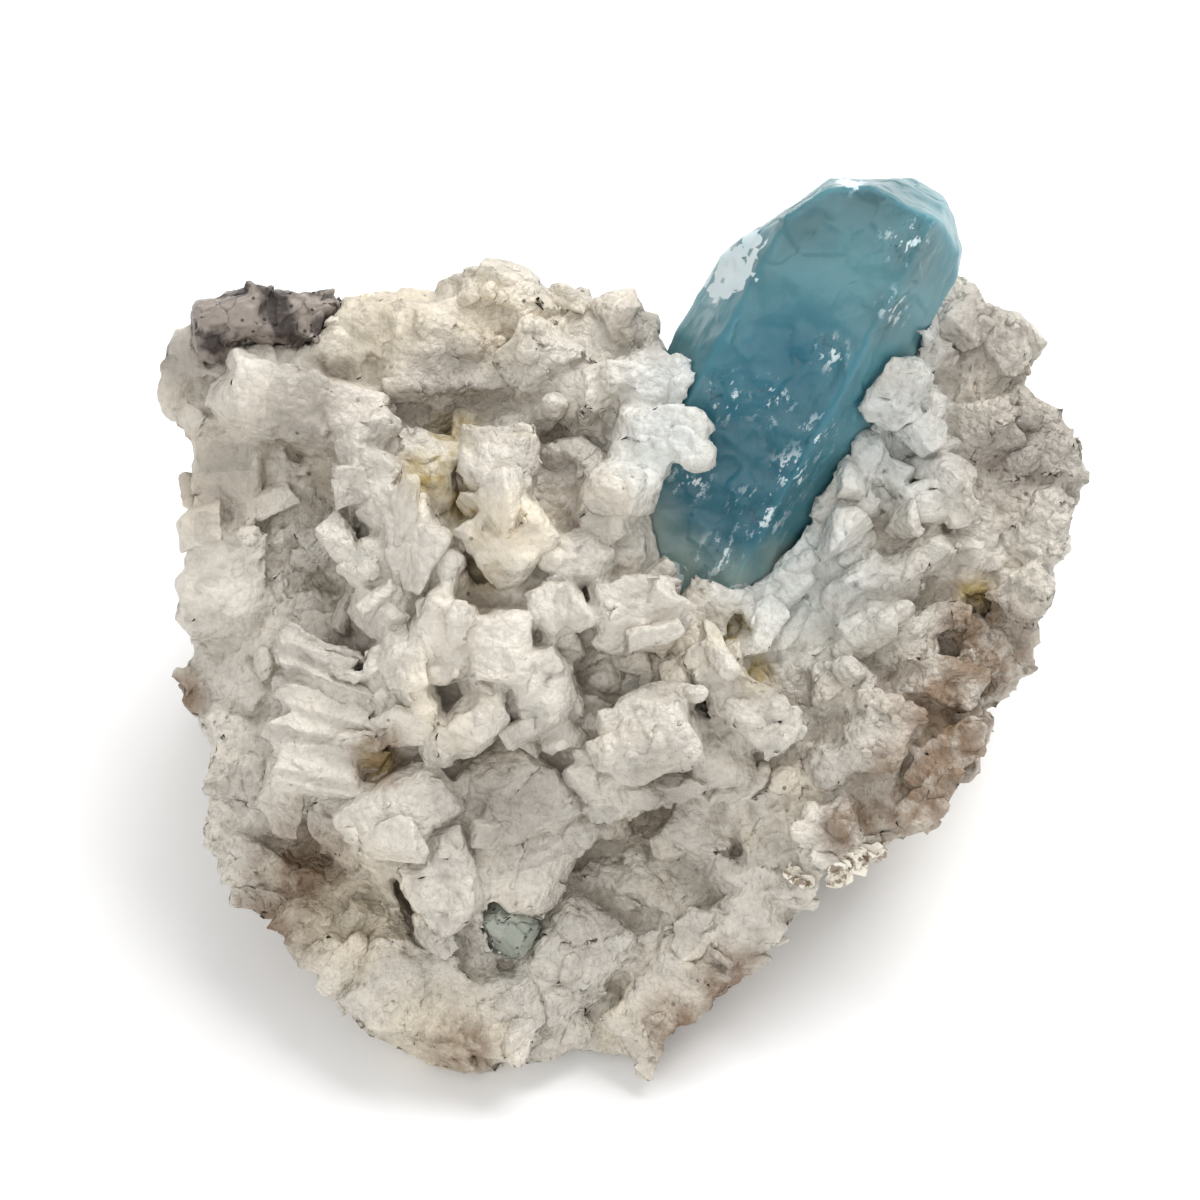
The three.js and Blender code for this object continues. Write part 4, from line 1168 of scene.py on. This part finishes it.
class SPECIMEN_OT_stage(Operator):
    """Set the floor, the lights and the camera"""

    bl_idname = "specimen.stage"
    bl_label = "Stage"

    def execute(self, context):
        scene = context.scene
        bm = bmesh.new()
        bmesh.ops.create_grid(bm, x_segments=1, y_segments=1, size=PAPER_REACH)
        material, tree = new_material("white_paper")
        paper = node(tree, "BsdfPrincipled", Base_Color=rgba(linear(PAPER)), Roughness=0.9)
        node(tree, "OutputMaterial", Surface=paper)
        floor = object_of("white_paper", to_mesh(bm, "white_paper"), material)

        world = bpy.data.worlds.new("soft_room")
        world.use_nodes = True
        world.node_tree.nodes["Background"].inputs["Color"].default_value = (1, 1, 1, 1)
        world.node_tree.nodes["Background"].inputs["Strength"].default_value = ROOM_LIGHT
        scene.world = world

        for name, place, power, width in LAMPS:
            data = bpy.data.lights.new(name, "AREA")
            data.energy = power
            data.size = width
            lamp = bpy.data.objects.new(name, data)
            lamp.location = place
            aim = Vector(LAMPS_AIM) - Vector(place)
            lamp.rotation_euler = aim.to_track_quat("-Z", "Y").to_euler()
            scene.collection.objects.link(lamp)

        data = bpy.data.cameras.new("camera")
        data.lens = LENS
        data.sensor_width = SENSOR
        camera = bpy.data.objects.new("camera", data)
        away = VIEW_WIDTH / 2 / math.tan(math.atan(SENSOR / 2 / LENS))
        camera.location = on_face(*CAMERA_AIM[:2], CAMERA_AIM[2] + away)
        camera.rotation_euler = (FACE_LEAN, 0, 0)
        scene.collection.objects.link(camera)
        scene.camera = camera
        scene.view_settings.view_transform = "Standard"
        return {"FINISHED"}


class SPECIMEN_PT_panel(Panel):
    """The sizes, the colours and a button for each step"""

    bl_label = "Specimen"
    bl_idname = "SPECIMEN_PT_panel"
    bl_space_type = "VIEW_3D"
    bl_region_type = "UI"
    bl_category = "Specimen"

    def draw(self, context):
        for group in (context.scene.specimen_sizes, context.scene.specimen_colours):
            for name in group.bl_rna.properties.keys():
                if name not in {"rna_type", "name"}:
                    self.layout.prop(group, name)
        for operator in OPERATORS:
            self.layout.operator(operator.bl_idname)


OPERATORS = (
    SPECIMEN_OT_albite_stone,
    SPECIMEN_OT_albite_crystals,
    SPECIMEN_OT_aquamarine,
    SPECIMEN_OT_smoky_quartz,
    SPECIMEN_OT_mica,
    SPECIMEN_OT_stage,
)
CLASSES = (SpecimenSizes, SpecimenColours, *OPERATORS, SPECIMEN_PT_panel)


def register():
    for cls in CLASSES:
        bpy.utils.register_class(cls)
    bpy.types.Scene.specimen_sizes = bpy.props.PointerProperty(type=SpecimenSizes)
    bpy.types.Scene.specimen_colours = bpy.props.PointerProperty(type=SpecimenColours)


def unregister():
    del bpy.types.Scene.specimen_colours
    del bpy.types.Scene.specimen_sizes
    for cls in reversed(CLASSES):
        bpy.utils.unregister_class(cls)


def main():
    register()
    bpy.ops.specimen.albite_stone()
    bpy.ops.specimen.albite_crystals()
    bpy.ops.specimen.aquamarine()
    bpy.ops.specimen.smoky_quartz()
    bpy.ops.specimen.mica()
    bpy.ops.specimen.stage()


if __name__ == "__main__":
    main()
